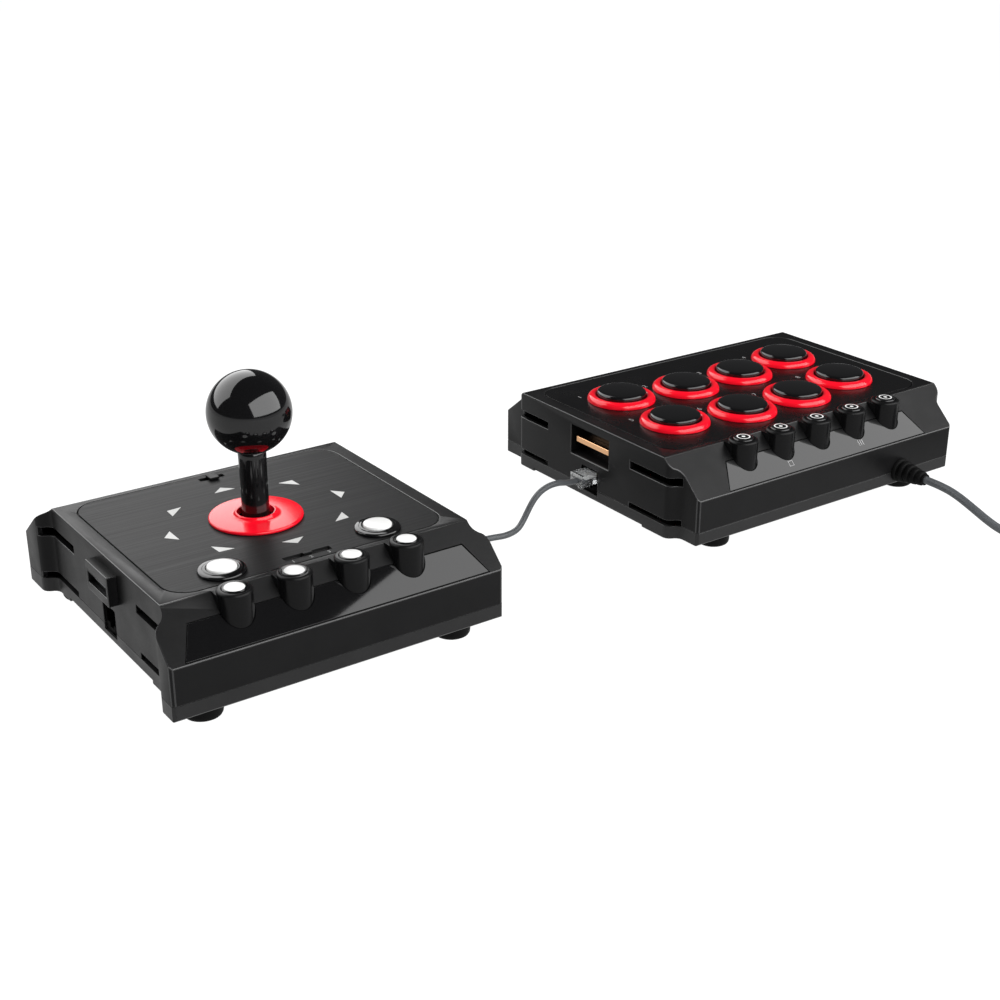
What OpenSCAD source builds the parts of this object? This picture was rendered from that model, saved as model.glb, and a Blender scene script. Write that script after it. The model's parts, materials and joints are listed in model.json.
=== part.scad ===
// Arcade fight stick in two cases on one table: a lever case with a ball-topped lever, and a wider
// case with eight action buttons. A short link cord with clear modular plugs joins them.
// Millimetres, +Z up, fronts towards -Y. The origin is under the middle of the two cases, on the table.

/* [Cases] */
// Depth of both cases, front to rear
case_d = 151; // [148:0.5:156]
// Width of the lever case across its ears
stick_w = 148.8; // [146:0.2:156]
// Width of the button case across its side bulges
button_w = 184.4; // [182:0.2:192]
// Free space between the two cases
case_gap = 107; // [100:1:112]
// How far the button case stands behind the lever case
case_shift = 5.7; // [0:0.1:8]
// Height of the flat tops above the table
case_h = 47.6; // [47:0.1:49.5]
// Height of the front and rear walls above the table
wall_top = 30.2; // [29:0.1:31]
// Depth of the front slope
front_slope_d = 18.6; // [17.6:0.1:19]
// Depth of the rear slope
rear_slope_d = 22; // [19:0.1:24]
// Height of the joint between top and base shells
parting_z = 14.4; // [14:0.1:15]
// Thickness of the shell walls
wall = 2.4; // [2:0.1:2.6]
// Thickness of the base shell floor
floor_t = 2.4; // [2:0.1:2.6]
// How far the ears stand out from the sides
ear_step = 5.8; // [4:0.1:6.4]
// Length of the curve between a side and an ear
ear_curve_l = 8; // [6:0.5:9]
// Distance from the front to the front ear curve
front_curve_in = 17.5; // [16:0.5:18.5]
// Distance from the rear to the rear ear curve
rear_curve_in = 22.5; // [19.5:0.5:23.5]
// Cut across the vertical corners of the ears
corner_cut = 1.2; // [0.6:0.1:2]

/* [Feet and screws] */
// Height of the rubber feet
foot_h = 8; // [7:0.5:8]
// Radius of the rubber feet
foot_r = 8; // [6:0.5:9]
// Distance of the feet from the ears of the lever case
stick_foot_in = 17.4; // [14.4:0.5:24.4]
// Distance of the feet from the ears of the button case
button_foot_in = 22.4; // [16.4:0.5:26.4]
// Distance of the feet from the front and the rear
foot_in = 13.5; // [11.5:0.5:17.5]
// Radius of the case screw shanks
screw_r = 1.5; // [1.2:0.1:1.6]
// Radius of the case screw heads
screw_head_r = 2.8; // [2.4:0.1:3]

/* [Panels] */
// Thickness of the top panels
panel_t = 1.2; // [1:0.1:1.4]
// Distance from a case side to its top panel
panel_edge = 7; // [6:0.5:9]
// Distance from the front to the top panels
panel_front_in = 21.6; // [21:0.1:24]
// Distance from the rear to the top panels
panel_rear_in = 25.3; // [24.5:0.1:28]
// Corner radius of the top panels
panel_r = 11; // [6:1:14]
// Thickness of the slope plates
plate_t = 1; // [0.8:0.1:1.2]
// Distance from an ear of the lever case to the foot of its slope plate
stick_plate_in = 6.9; // [5.4:0.5:14.4]
// Distance from an ear of the button case to the foot of its slope plate
button_plate_in = 19.9; // [10.4:0.5:22.4]
// Length of the slope plates up the slope
plate_l = 14.4; // [12:0.2:17]
// Visible gap round each inlaid panel
panel_gap = 0.4; // [0.3:0.05:0.5]

/* [Lever] */
// Lever axis, sideways from the middle of the lever case
lever_x = -1.8; // [-4:0.2:2]
// Lever axis, back from the middle of the lever case
lever_y = -4.2; // [-6:0.2:0]
// Radius of the ball top
ball_r = 17.5; // [15:0.5:19]
// Height of the ball centre above the case top
ball_rise = 46.5; // [40.5:0.1:50.5]
// Depth of the lever pivot below the case top
pivot_drop = 4.1; // [3.9:0.1:4.3]
// Largest tilt of the lever on each axis, degrees
lever_tilt = 8; // [6:1:8]
// Radius of the steel lever shaft
shaft_r = 4; // [3.6:0.1:4.2]
// Radius of the shaft sleeve
sleeve_r = 5.9; // [5.5:0.1:6]
// Radius of the dust washer
washer_r = 19.8; // [18.5:0.2:21]
// Thickness of the dust washer
washer_t = 1.5; // [1.2:0.1:2]
// Height of the collar on the dust washer
collar_h = 1.5; // [1:0.1:2]
// Radius of the opening under the dust washer
lever_hole_r = 15.5; // [15:0.1:16]

/* [Action buttons] */
// Radius of the red housing flange
ring_r = 17.2; // [16:0.1:17.6]
// Height of the red flange above the panel
ring_h = 3; // [2.4:0.1:3.4]
// Radius of the housing barrel
barrel_r = 14.4; // [14:0.1:14.8]
// Radius of the action button caps
action_r = 12.45; // [11.5:0.05:12.6]
// Height of the cap tops above the case top
action_h = 5.5; // [4.6:0.1:5.8]
// Travel of the action buttons
action_travel = 2.5; // [1.5:0.1:2.8]

/* [Keys and round buttons] */
// Radius of the key posts
post_r = 7.1; // [6.9:0.1:7.6]
// Height of the key posts above the case top
post_h = 1.75; // [1.2:0.05:2.2]
// Radius of the keys in the posts
key_r = 4.9; // [4.4:0.1:5.1]
// Height of a key above its post
key_h = 0.9; // [0.9:0.1:1.4]
// Travel of the keys
key_travel = 0.8; // [0.4:0.1:0.8]
// Spacing of the four keys on the lever case
stick_key_pitch = 25.4; // [22:0.2:26]
// Spacing of the five keys on the button case
button_key_pitch = 24.2; // [20:0.2:25]
// Radius of the round button bezels
bezel_r = 9.7; // [9:0.1:10]
// Height of the round button bezels above the panel
bezel_h = 1.8; // [1.2:0.1:2]
// Radius of the round buttons
round_r = 6; // [5.6:0.1:6.4]
// Travel of the round buttons
round_travel = 0.8; // [0.4:0.1:0.8]

/* [Slide switches] */
// Length of the mode switch slot
mode_slot_l = 21; // [20:0.5:25]
// Travel of the mode switch to each side
mode_travel = 7.5; // [6:0.5:8]
// Length of the rear switch slot
rear_slot_l = 11.6; // [10:0.2:14]
// Travel of the rear switch to each side
rear_travel = 3; // [2:0.5:3]
// Width of both slots
slot_w = 3.2; // [2:0.1:3.6]

/* [Docking sides] */
// Width of the docking hook
hook_w = 22; // [18:0.5:23]
// Height of the docking hook
hook_h = 13; // [12:0.2:13.6]
// How far the docking hook stands out
hook_out = 4; // [3.6:0.1:5]
// Width of the docking window
window_w = 29.5; // [27:0.5:31]
// Height of the docking window
window_h = 14.6; // [14.4:0.1:15]
// Depth of the docking window
window_d = 8; // [7:0.5:9]
// Height of the contact bar in the window
bar_h = 2.9; // [2.4:0.1:3.2]
// Width of the jack openings in the side walls
jack_w = 12.8; // [12:0.2:13.6]
// Height of the vents in the side walls
vent_h = 3.8; // [2:0.1:4.2]
// Length of the front vents along the flat of the side walls
vent_l = 25; // [20:0.5:26]

/* [Cords] */
// Diameter of the link cord
link_d = 3; // [2.4:0.1:3.2]
// Diameter of the USB cord
usb_d = 4; // [3.6:0.1:4.2]
// Length of the cord boot outside the case
boot_l = 17; // [14:0.5:18]
// Radius of the cord boot at the case
boot_r = 6.2; // [5.5:0.1:6.4]

/* [Hidden] */
$fn = 64;

overrun = 1;
fit_gap = 0.05;
move_gap = 0.3;
seat_gap = 0.2;

// Where the two cases stand
total_l = stick_w + case_gap + button_w;
stick_x = -total_l / 2 + stick_w / 2;
button_x = total_l / 2 - button_w / 2;
stick_y = -case_shift / 2;
button_y = case_shift / 2;

half_d = case_d / 2;
front_curve_y = half_d - front_curve_in;
rear_curve_y = half_d - rear_curve_in;
panel_front_y = half_d - panel_front_in;
panel_rear_y = half_d - panel_rear_in;
stick_ear = stick_w / 2;
stick_side = stick_ear - ear_step;
button_side = button_w / 2;
button_ear = button_side - ear_step;
stick_plate_half = stick_ear - stick_plate_in;
button_plate_half = button_ear - button_plate_in;
slope_angle = atan((case_h - wall_top) / front_slope_d);
rear_angle = atan((case_h - wall_top) / rear_slope_d);
inner_top = case_h - wall;
floor_top = foot_h + floor_t;
edge_cut = 0.8;
plate_lean_share = 0.45;
curve_steps = 10;

// Feet, screws and bosses
stick_foot_x = stick_ear - stick_foot_in;
button_foot_x = button_ear - button_foot_in;
foot_y = half_d - foot_in;
screw_pad_h = 1;
screw_pad_r = 5;
screw_head_h = 1.6;
boss_bottom = floor_top + screw_pad_h;
boss_r = 3.6;
screw_bite = 9;
screw_in = 31.5;
stick_screw_in = 8.6;
button_screw_in = 8.4;
stick_screw_x = stick_side - stick_screw_in;
button_screw_x = button_ear - button_screw_in;
screw_front_y = half_d - screw_in;
screw_rear_y = half_d - screw_in;
stick_screw_places = [
  [-stick_screw_x, -screw_front_y + boss_r], [stick_screw_x, -screw_front_y + boss_r],
  [-stick_screw_x, screw_rear_y], [stick_screw_x, screw_rear_y]
];
button_screw_places = [
  [-button_screw_x, -screw_front_y], [button_screw_x, -screw_front_y],
  [-button_screw_x, screw_rear_y], [button_screw_x, screw_rear_y], [0, screw_rear_y]
];

// Key posts and boards
post_in = 12.8;
post_y = half_d - post_in;
post_root_rise = 2.4;
post_root_z = wall_top + post_root_rise;
stick_post_x = -2.6;
stick_key_x = [for (i = [0:3]) stick_post_x + (i - 1.5) * stick_key_pitch];
button_key_x = [for (i = [0:4]) (i - 2) * button_key_pitch];
board_t = 1.6;
key_board_drop = 5.2;
key_board_z = wall_top - key_board_drop;
key_board_top = key_board_z + board_t;
tact_h = 3.4;
tact_w = 6;
tact_body_h = 2.7;
tact_pin_r = 1.75;
tact_top = key_board_top + tact_h;
key_bottom = tact_top + key_travel + move_gap;
round_bottom = tact_top + round_travel + move_gap;
board_clear = 5.5;
board_edge_y = half_d - board_clear;
gate_board_half = 26;
lever_board_gap = 4.8;
stick_board_end = 13.9;
button_board_end = 7.6;
key_board_d = 14;
stick_board_half = 1.5 * stick_key_pitch + stick_board_end;
stick_board_rear = gate_board_half - lever_y + lever_board_gap;
button_key_board_half = 2 * button_key_pitch + button_board_end;
button_key_board_rear = board_edge_y - key_board_d;
standoff_r = 3;
stick_standoff_in = 6;
stick_standoff_x = stick_board_half - stick_standoff_in;
stick_standoff_y = (board_edge_y + stick_board_rear) / 2;
stick_standoffs = [for (s = [-1, 1]) [s * stick_standoff_x, -stick_standoff_y]];
button_key_standoffs = [for (s = [-1, 1]) [1.5 * s * button_key_pitch, -post_y]];

// Round buttons
round_mid_x = -1.6;
round_out_x = 35;
round_in = 31.9;
round_y = half_d - round_in;
round_places = [for (s = [-1, 1]) [round_mid_x + s * round_out_x, -round_y]];
bezel_barrel_r = 8;
bezel_barrel_l = 9;
round_crown = 1.1;

// Slide switches
mode_x = -1.9;
mode_in = 27.1;
mode_y = mode_in - half_d;
rear_slot_x = 1.8;
rear_slot_in = 29.5;
rear_slot_y = half_d - rear_slot_in;
slider_stem_w = 1.6;
mode_stem_l = 4;
rear_stem_l = 3;
slider_foot_t = 1.4;
slider_foot_w = 5;
slider_foot_l = 7;
slider_foot_top = inner_top - move_gap;
slider_foot_z = slider_foot_top - slider_foot_t;
mode_knob_h = 0.7;
mode_knob_w = 1.6;
rear_knob_h = 1.4;
rear_knob_l = 4.4;
rear_knob_w = 5.4;
switch_body_w = 7;
switch_body_end = 1.5;
mode_body_l = slider_foot_l + 2 * (mode_travel + switch_body_end);
rear_body_l = slider_foot_l + 2 * (rear_travel + switch_body_end);
rear_board_drop = 11.6;
rear_board_z = case_h - rear_board_drop;
rear_board_l = 30;
rear_board_w = 11;
rear_boss_r = 2.6;
rear_boss_x = 12;

// Lever parts
pivot_z = case_h - pivot_drop;
ball_z = case_h + ball_rise;
washer_z = case_h;
collar_wall = 1;
corner_tilt = acos(cos(lever_tilt) * cos(lever_tilt));
collar_top = washer_z + washer_t + collar_h;
washer_hole_r = sleeve_r / cos(corner_tilt) + (collar_top - pivot_z) * tan(corner_tilt) + move_gap;
ring_out_r = 12.6;
ring_in_r = 9.4;
gimbal_h = 3;
gimbal_pin_r = 1.5;
gimbal_pin_in = 9.9;
gimbal_pin_out = 17.4;
cross_pin_r = 1.2;
bearing_in = 13.6;
bearing_out = 19;
bearing_w = 8;
bearing_drop = 4.4;
hub_r = 6.2;
hub_h = 3.6;
cross_pin_half = 12.2;
housing_half = 27;
housing_t = 2.4;
leg_in = 19;
leg_drop = 23.6;
leg_z = case_h - leg_drop;
lever_board_z = leg_z - board_t;
gate_t = 2.4;
gate_z = lever_board_z - gate_t;
gate_half = shaft_r / cos(lever_tilt) + (pivot_z - gate_z) * tan(lever_tilt) + move_gap;
board_hole_play = 1.2;
board_hole_half = gate_half + board_hole_play;
shaft_tip_l = 4.4;
shaft_tip_z = gate_z - shaft_tip_l;
actuator_r = 6.5;
actuator_rise = 2.4;
actuator_z = leg_z + actuator_rise;
actuator_h = 4.6;
plunger_gap = 0.5;
plunger_reach = actuator_r + (pivot_z - actuator_z) * tan(lever_tilt) + plunger_gap;
lever_switch_l = 12.8;
lever_switch_w = 6;
lever_switch_h = 6.6;
switch_plunger_r = 1.1;
switch_plunger_out = 1.1;
spring_r = 5.6;
clip_r = 5.4;
clip_t = 1;
clip_rise = 1.6;
clip_z = shaft_tip_z + clip_rise;
lever_screw_r = 1.25;
lever_screw_at = (leg_in + gate_board_half) / 2;
lever_screw_head_r = 2.2;
lever_screw_head_h = 1.4;
ball_flat_z = ball_z - sqrt(ball_r * ball_r - sleeve_r * sleeve_r);

// Action buttons
action_x = -0.7;
action_inner_x = 18.8;
action_outer_x = 56.5;
rear_outer_y = 16.6;
rear_inner_y = 10.6;
front_outer_y = -24.3;
front_inner_y = -31.3;
action_places = [
  [action_x - action_outer_x, rear_outer_y], [action_x - action_inner_x, rear_inner_y],
  [action_x + action_inner_x, rear_inner_y], [action_x + action_outer_x, rear_outer_y],
  [action_x - action_outer_x, front_outer_y], [action_x - action_inner_x, front_inner_y],
  [action_x + action_inner_x, front_inner_y], [action_x + action_outer_x, front_outer_y]
];
action_bore_r = action_r + move_gap;
ring_rim_share = 0.18;
ring_steps = 6;
switch_pin_r = 1.5;
housing_l = 21.6;
housing_floor_z = case_h - housing_l;
housing_floor_t = 2;
stem_r = 2.6;
stem_hole_r = 3.2;
cap_l = 9.6;
cap_bottom = case_h - cap_l;
switch_tip_z = housing_floor_z + housing_floor_t + seat_gap;
stem_bottom = switch_tip_z + action_travel + move_gap;
cap_round = 1.2;
cap_crown = 0.5;
cap_steps = 5;
main_board_z = 14;
main_board_top = main_board_z + board_t;
main_board_end = 14.5;
main_board_front = main_board_end - front_inner_y;
main_board_rear = main_board_end + rear_outer_y;
micro_l = 19.6;
micro_w = 10.2;
main_standoffs = [for (i = [0:3]) (action_places[i] + action_places[i + 4]) / 2];

// Docking sides
hook_y = -3.5;
hook_drop = 17.8;
hook_z = case_h - hook_drop;
hook_slot_h = 4.8;
hook_lip = 3.6;
hook_end = 1.5;
hook_slot_z = hook_z + hook_lip;
window_y = -2.3;
window_drop = 19;
window_z = case_h - window_drop;
pocket_t = 1.6;
bar_t = 2.4;
bar_in = 1.7;
hook_slot_d = hook_out - bar_in + move_gap;
bar_end_gap = 2.2;
bar_web_share = 0.5;
sill_cut = 1.3;
bar_z = hook_slot_z + (hook_slot_h - bar_h) / 2;
jack_y = -2.5;
jack_z = 11.8;
jack_h = 12.8;
jack_gap = 0.2;
jack_block_w = 15;
jack_block_d = 15;
jack_block_top = 25;
jack_face_in = 0.8;
socket_w = 9.9;
socket_h = 7.4;
socket_d = 11;
socket_z = 16.2;
socket_mid_z = socket_z + socket_h / 2;
main_board_gap = 3.6;
main_board_half = button_side - wall - jack_gap - jack_block_d - main_board_gap;
latch_slot_w = 3.6;
latch_slot_h = 1.8;
plug_play = 0.6;
plug_w = socket_w - plug_play;
plug_h = socket_h - plug_play;
plug_out = 8;
plug_in = 9.2;
latch_w = 3;
latch_t = 0.8;
latch_root = 1.6;
latch_out = 6;
vent_reach_share = 0.8;
vent_rear_share = 0.86;
vent_reach = ear_curve_l * vent_reach_share;
vent_rear_l = vent_l * vent_rear_share;
vent_drop = 13.2;
vent_high_z = case_h - vent_drop;
side_relief_h = 1.5;
side_relief_d = 1.4;
side_relief_half = 43;

// USB boot and plug
boot_x = 49.5;
boot_z = 15;
boot_neck_r = 3.6;
boot_flange_w = 11;
boot_flange_h = 8;
boot_flange_t = 2;
boot_tip_r = 3.2;
boot_ribs = 5;
boot_rib_shares = [0, 0.55, 0.62, 0.93];
boot_groove = 0.6;
plug_grip_l = 24;
plug_grip_w = 15;
plug_grip_t = 8;
plug_shell_l = 12;
plug_shell_w = 12;
plug_shell_t = 4.5;
plug_shell_wall = 0.4;

// Link cord, from the lever case plug to the button case plug
link_a = stick_x + stick_side + plug_out;
link_b = button_x - button_side - plug_out;
link_ya = stick_y + jack_y;
link_yb = button_y + jack_y;
link_route = [
  [link_a, link_ya, socket_mid_z], [link_a + link_d, link_ya, socket_mid_z],
  [-60, -5.3, 19], [-55, -5.1, 17], [-50, -4.6, 13.6], [-45.4, -3.8, 9.8], [-41, -2.6, 6.2],
  [-36.4, -0.8, 3.4], [-31.4, 1.2, 1.9], [-26, 2.2, 1.6], [-20.6, 1.4, 1.6], [-15.4, 0.3, 1.6],
  [-10.4, 0.6, 1.8], [-6.2, 1.4, 2.8], [-3, 2, 5.6], [-0.6, 2.2, 9], [1.6, 2.1, 12.6],
  [4.2, 1.9, 16], [7.8, 1.6, 18.9], [12.4, 1.2, 20.6], [17.4, 0.8, 20.9], [21.8, 0.5, 20.2],
  [link_b - link_d, link_yb, socket_mid_z], [link_b, link_yb, socket_mid_z]
];

// USB cord, from the boot to the start of the coil
coil_x = 262;
coil_y = -144;
coil_turns = 10.25;
coil_layers = 4;
coil_r = 24;
coil_gap = 0.6;
coil_step = usb_d + coil_gap;
coil_rings = 24;
coil_z = usb_d / 2;
layer_turns = coil_turns / coil_layers;
coil_out_r = coil_r + coil_step * layer_turns / 2;
coil_in_r = coil_r - coil_step * layer_turns / 2;
boot_end = [button_x + boot_x, button_y - half_d - boot_l, boot_z];
usb_route = [
  boot_end, boot_end - [0, usb_d, 0], [177.4, -98, 14.9], [177.4, -104, 14.4], [177.4, -110, 13.2],
  [177.4, -116, 11.4], [177.6, -122, 9.2], [178, -128, 6.9], [178.9, -134.4, 4.7], [180.9, -141, 3.1],
  [184, -147.6, 2.3], [188.4, -154, 2], [194, -159.8, 2], [200.6, -164.8, 2], [208.4, -169, 2],
  [217, -172.1, 2], [226, -173.6, 2], [235, -173.9, 2], [244.4, -173.9, 2],
  [coil_x - 2 * usb_d, coil_y - coil_out_r, coil_z], [coil_x - usb_d, coil_y - coil_out_r, coil_z]
];
coil_top_z = coil_z + coil_step * (coil_layers - 1);
coil_end = [coil_x + coil_out_r, coil_y, coil_top_z];
tail_start = coil_end + [0, usb_d, 0];
tail_route = [
  tail_start, tail_start + [0, usb_d, 0], [292, coil_y + 12, 15.3], [292, coil_y + 17, 13.8],
  [292, coil_y + 22, 11.4], [292, coil_y + 27, 8.6], [292, coil_y + 32, 6.2], [292, coil_y + 37, 4.7],
  [292, coil_y + 42, 4.1], [292, coil_y + 46, 4], [292, coil_y + 50, 4]
];

// Moves its children onto the lever case or the button case
module on_stick() {
  translate([stick_x, stick_y, 0]) children();
}
module on_button() {
  translate([button_x, button_y, 0]) children();
}

// One point of the smooth step between a side and an ear, as two equal arcs
function step_point(f, step, len) =
  let (a = 2 * atan(step / len), r = len / 2 / sin(a))
  f <= 0.5
    ? [r * (1 - cos(2 * f * a)), r * sin(2 * f * a)]
    : [step - r * (1 - cos(2 * (1 - f) * a)), len - r * sin(2 * (1 - f) * a)];

// Right half of a case outline, front to rear, for its ear and side half widths and its half depth
function right_outline(ear, side, half, cut) =
  let (step = ear - side)
  concat(
    [[ear - cut, -half], [ear, -half + cut]],
    [for (i = [0:curve_steps])
      let (p = step_point(1 - i / curve_steps, step, ear_curve_l)) [side + p[0], -front_curve_y - p[1]]],
    [for (i = [0:curve_steps])
      let (p = step_point(i / curve_steps, step, ear_curve_l)) [side + p[0], rear_curve_y + p[1]]],
    [[ear, half - cut], [ear - cut, half]]
  );
function case_outline(ear, side, half, cut) =
  let (right = right_outline(ear, side, half, cut))
  concat(right, [for (i = [len(right) - 1:-1:0]) [-right[i][0], right[i][1]]]);

// Side view of a case, set in by a wall thickness, from a low height up
function slope_drop(t, angle) = t / cos(angle) - t * tan(angle);
function slope_in(t, angle) = t * (1 / cos(angle) - 1) / tan(angle);
function side_view(t, low) = [
  [-half_d + t, low], [half_d - t, low],
  [half_d - t, wall_top - slope_drop(t, rear_angle)],
  [half_d - rear_slope_d - slope_in(t, rear_angle), case_h - t],
  [-half_d + front_slope_d + slope_in(t, slope_angle), case_h - t],
  [-half_d + t, wall_top - slope_drop(t, slope_angle)]
];

// Solid of a case above a low height, set in by a wall thickness
module case_body(ear, side, t, low) {
  intersection() {
    translate([0, 0, low])
      linear_extrude(case_h) polygon(case_outline(ear - t, side - t, half_d - t, corner_cut));
    rotate([90, 0, 90])
      linear_extrude(3 * ear, center = true) polygon(side_view(t, low));
  }
}

// Flat rounded rectangle between two corners
module soft_rect(x0, x1, y0, y1, r) {
  translate([x0 + r, y0]) square([x1 - x0 - 2 * r, y1 - y0]);
  translate([x0, y0 + r]) square([x1 - x0, y1 - y0 - 2 * r]);
  for (x = [x0 + r, x1 - r], y = [y0 + r, y1 - r]) translate([x, y]) circle(r);
}

// Block between two corners
module block(low, high) {
  translate(low) cube(high - low);
}

// Rod between two heights
module rod(r, low, high) {
  translate([0, 0, low]) cylinder(r = r, h = high - low);
}

// Puts its children on the front slope: X along the case, Y up the slope, Z out of it
module on_slope() {
  translate([0, -half_d, wall_top]) rotate([slope_angle, 0, 0]) children();
}

// Outline of a slope plate, grown by a gap
module slope_plate_shape(foot_half, gap) {
  head_half = foot_half - plate_l * plate_lean_share;
  polygon([
    [-foot_half - gap, plate_t - gap], [foot_half + gap, plate_t - gap],
    [head_half + gap, plate_t + plate_l + gap], [-head_half - gap, plate_t + plate_l + gap]
  ]);
}
module slope_recess(foot_half) {
  on_slope() translate([0, 0, -plate_t]) linear_extrude(case_h) slope_plate_shape(foot_half, panel_gap);
}
module slope_plate(foot_half, keys) {
  difference() {
    on_slope() translate([0, 0, -plate_t]) linear_extrude(plate_t) slope_plate_shape(foot_half, 0);
    for (x = keys) translate([x, -post_y, 0]) rod(post_r + seat_gap, wall_top - overrun, case_h);
    for (x = keys)
      translate([x - post_r - seat_gap, -post_y, wall_top])
        cube([2 * (post_r + seat_gap), front_slope_d, case_h - wall_top]);
  }
}

// Posts that carry the keys, with the web behind each post
module key_posts(keys) {
  for (x = keys) {
    translate([x, -post_y, 0]) rod(post_r, post_root_z, case_h + post_h);
    block([x - post_r, -post_y, post_root_z], [x + post_r, -half_d + front_slope_d + wall, case_h]);
  }
}
module key_bores(keys) {
  for (x = keys) translate([x, -post_y, 0])
    rod(key_r + move_gap, post_root_z - 4 * overrun, case_h + post_h + overrun);
}

// A key: a straight plunger with a low crown
module key_cap() {
  top = case_h + post_h + key_h;
  rotate_extrude() polygon([
    [0, key_bottom], [key_r, key_bottom], [key_r, top - key_h * 0.8], [key_r * 0.94, top - key_h * 0.4],
    [key_r * 0.8, top - key_h * 0.12], [key_r * 0.5, top], [0, top]
  ]);
}

// Vents on both sides: slots through the side walls that run on into the curves before the ears
module vents(ear, side) {
  from = min(ear, side) - wall - overrun;
  cut = max(ear, side) + overrun - from;
  for (mirror_x = [0, 1], z = [parting_z - overrun, vent_high_z]) mirror([mirror_x, 0, 0]) {
    translate([from, -front_curve_y - vent_reach, z]) cube([cut, vent_l + vent_reach, vent_h]);
    translate([from, rear_curve_y - vent_rear_l, z]) cube([cut, vent_rear_l + vent_reach, vent_h]);
  }
}

// Round holes, and round bosses, at a list of places
module drill(places, r, low, high) {
  for (p = places) translate([p[0], p[1], 0]) rod(r, low, high);
}

// Jack openings in both side walls
module jack_openings(side) {
  for (mirror_x = [0, 1]) mirror([mirror_x, 0, 0])
    translate([side - wall - overrun, jack_y - jack_w / 2, jack_z])
      cube([wall + 2 * overrun, jack_w, jack_h]);
}

// Docking hook on the right side of the lever case
module docking_hook() {
  y0 = hook_y - hook_w / 2;
  difference() {
    block([stick_side - wall / 2, y0, hook_z], [stick_side + hook_out, y0 + hook_w, hook_z + hook_h]);
    block(
      [stick_side + hook_out - hook_slot_d, y0 + hook_end, hook_slot_z],
      [stick_side + hook_out + overrun, y0 + hook_w - hook_end, hook_slot_z + hook_slot_h]
    );
  }
}

// Slots of the two slide switches
module switch_slots(low) {
  translate([mode_x - mode_slot_l / 2, mode_y - slot_w / 2, low]) cube([mode_slot_l, slot_w, case_h]);
  translate([rear_slot_x - rear_slot_l / 2, rear_slot_y - slot_w / 2, low])
    cube([rear_slot_l, slot_w, case_h]);
}

module stick_top_shell() {
  color("#333336") on_stick() {
    difference() {
      union() {
        difference() {
          case_body(stick_ear, stick_side, 0, parting_z);
          case_body(stick_ear, stick_side, wall, parting_z - overrun);
          slope_recess(stick_plate_half);
        }
        key_posts(stick_key_x);
        drill(stick_screw_places, boss_r, boss_bottom, inner_top + wall / 2);
        for (s = [-1, 1])
          translate([rear_slot_x + s * rear_boss_x, rear_slot_y, 0])
            rod(rear_boss_r, rear_board_z + board_t, inner_top + wall / 2);
        docking_hook();
        mirror([1, 0, 0]) docking_hook();
      }
      translate([0, 0, case_h - panel_t])
        linear_extrude(case_h) soft_rect(
          -stick_side + panel_edge - panel_gap, stick_side - panel_edge + panel_gap,
          -panel_front_y - panel_gap, panel_rear_y + panel_gap, panel_r + panel_gap
        );
      key_bores(stick_key_x);
      translate([lever_x, lever_y, 0]) rod(lever_hole_r, inner_top - overrun, case_h + overrun);
      drill(round_places, bezel_barrel_r + seat_gap, inner_top - overrun, case_h + overrun);
      switch_slots(inner_top - overrun);
      jack_openings(stick_side);
      vents(stick_ear, stick_side);
      drill(stick_screw_places, screw_r + fit_gap, boss_bottom - overrun, boss_bottom + screw_bite);
    }
  }
}

// Base shell: a tray with screw pads, standoffs and jack notches
module base_shell(ear, side, screws, standoffs) {
  difference() {
    union() {
      difference() {
        intersection() {
          translate([0, 0, foot_h]) linear_extrude(parting_z - foot_h)
            polygon(case_outline(ear, side, half_d, corner_cut));
          rotate([90, 0, 90]) linear_extrude(3 * ear, center = true) polygon([
            [-half_d + edge_cut, foot_h], [half_d - edge_cut, foot_h], [half_d, foot_h + edge_cut],
            [half_d, parting_z], [-half_d, parting_z], [-half_d, foot_h + edge_cut]
          ]);
        }
        translate([0, 0, floor_top]) linear_extrude(parting_z)
          polygon(case_outline(ear - wall, side - wall, half_d - wall, corner_cut));
      }
      drill(screws, screw_pad_r, foot_h + floor_t / 2, boss_bottom);
      for (p = standoffs) translate([p[0], p[1], 0]) rod(standoff_r, foot_h + floor_t / 2, p[2]);
    }
    drill(screws, screw_r + fit_gap, foot_h - overrun, boss_bottom + overrun);
    drill(screws, screw_head_r + seat_gap, foot_h - overrun, foot_h + screw_head_h);
    jack_openings(side);
    for (mirror_x = [0, 1]) mirror([mirror_x, 0, 0])
      block(
        [side - side_relief_d, -side_relief_half, foot_h - overrun],
        [side + overrun, side_relief_half, foot_h + side_relief_h]
      );
  }
}
module stick_base_shell() {
  color("#47474a") on_stick()
    base_shell(
      stick_ear, stick_side, stick_screw_places, [for (p = stick_standoffs) [p[0], p[1], key_board_z]]
    );
}

module stick_top_panel() {
  color("#3d3d3f") on_stick() difference() {
    translate([0, 0, case_h - panel_t]) linear_extrude(panel_t) soft_rect(
      -stick_side + panel_edge, stick_side - panel_edge, -panel_front_y, panel_rear_y, panel_r
    );
    translate([lever_x, lever_y, 0]) rod(lever_hole_r, inner_top, case_h + overrun);
    drill(round_places, bezel_barrel_r + seat_gap, inner_top, case_h + overrun);
    switch_slots(inner_top);
  }
}

module stick_slope_plate() {
  color("#151516") on_stick() slope_plate(stick_plate_half, stick_key_x);
}

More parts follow.
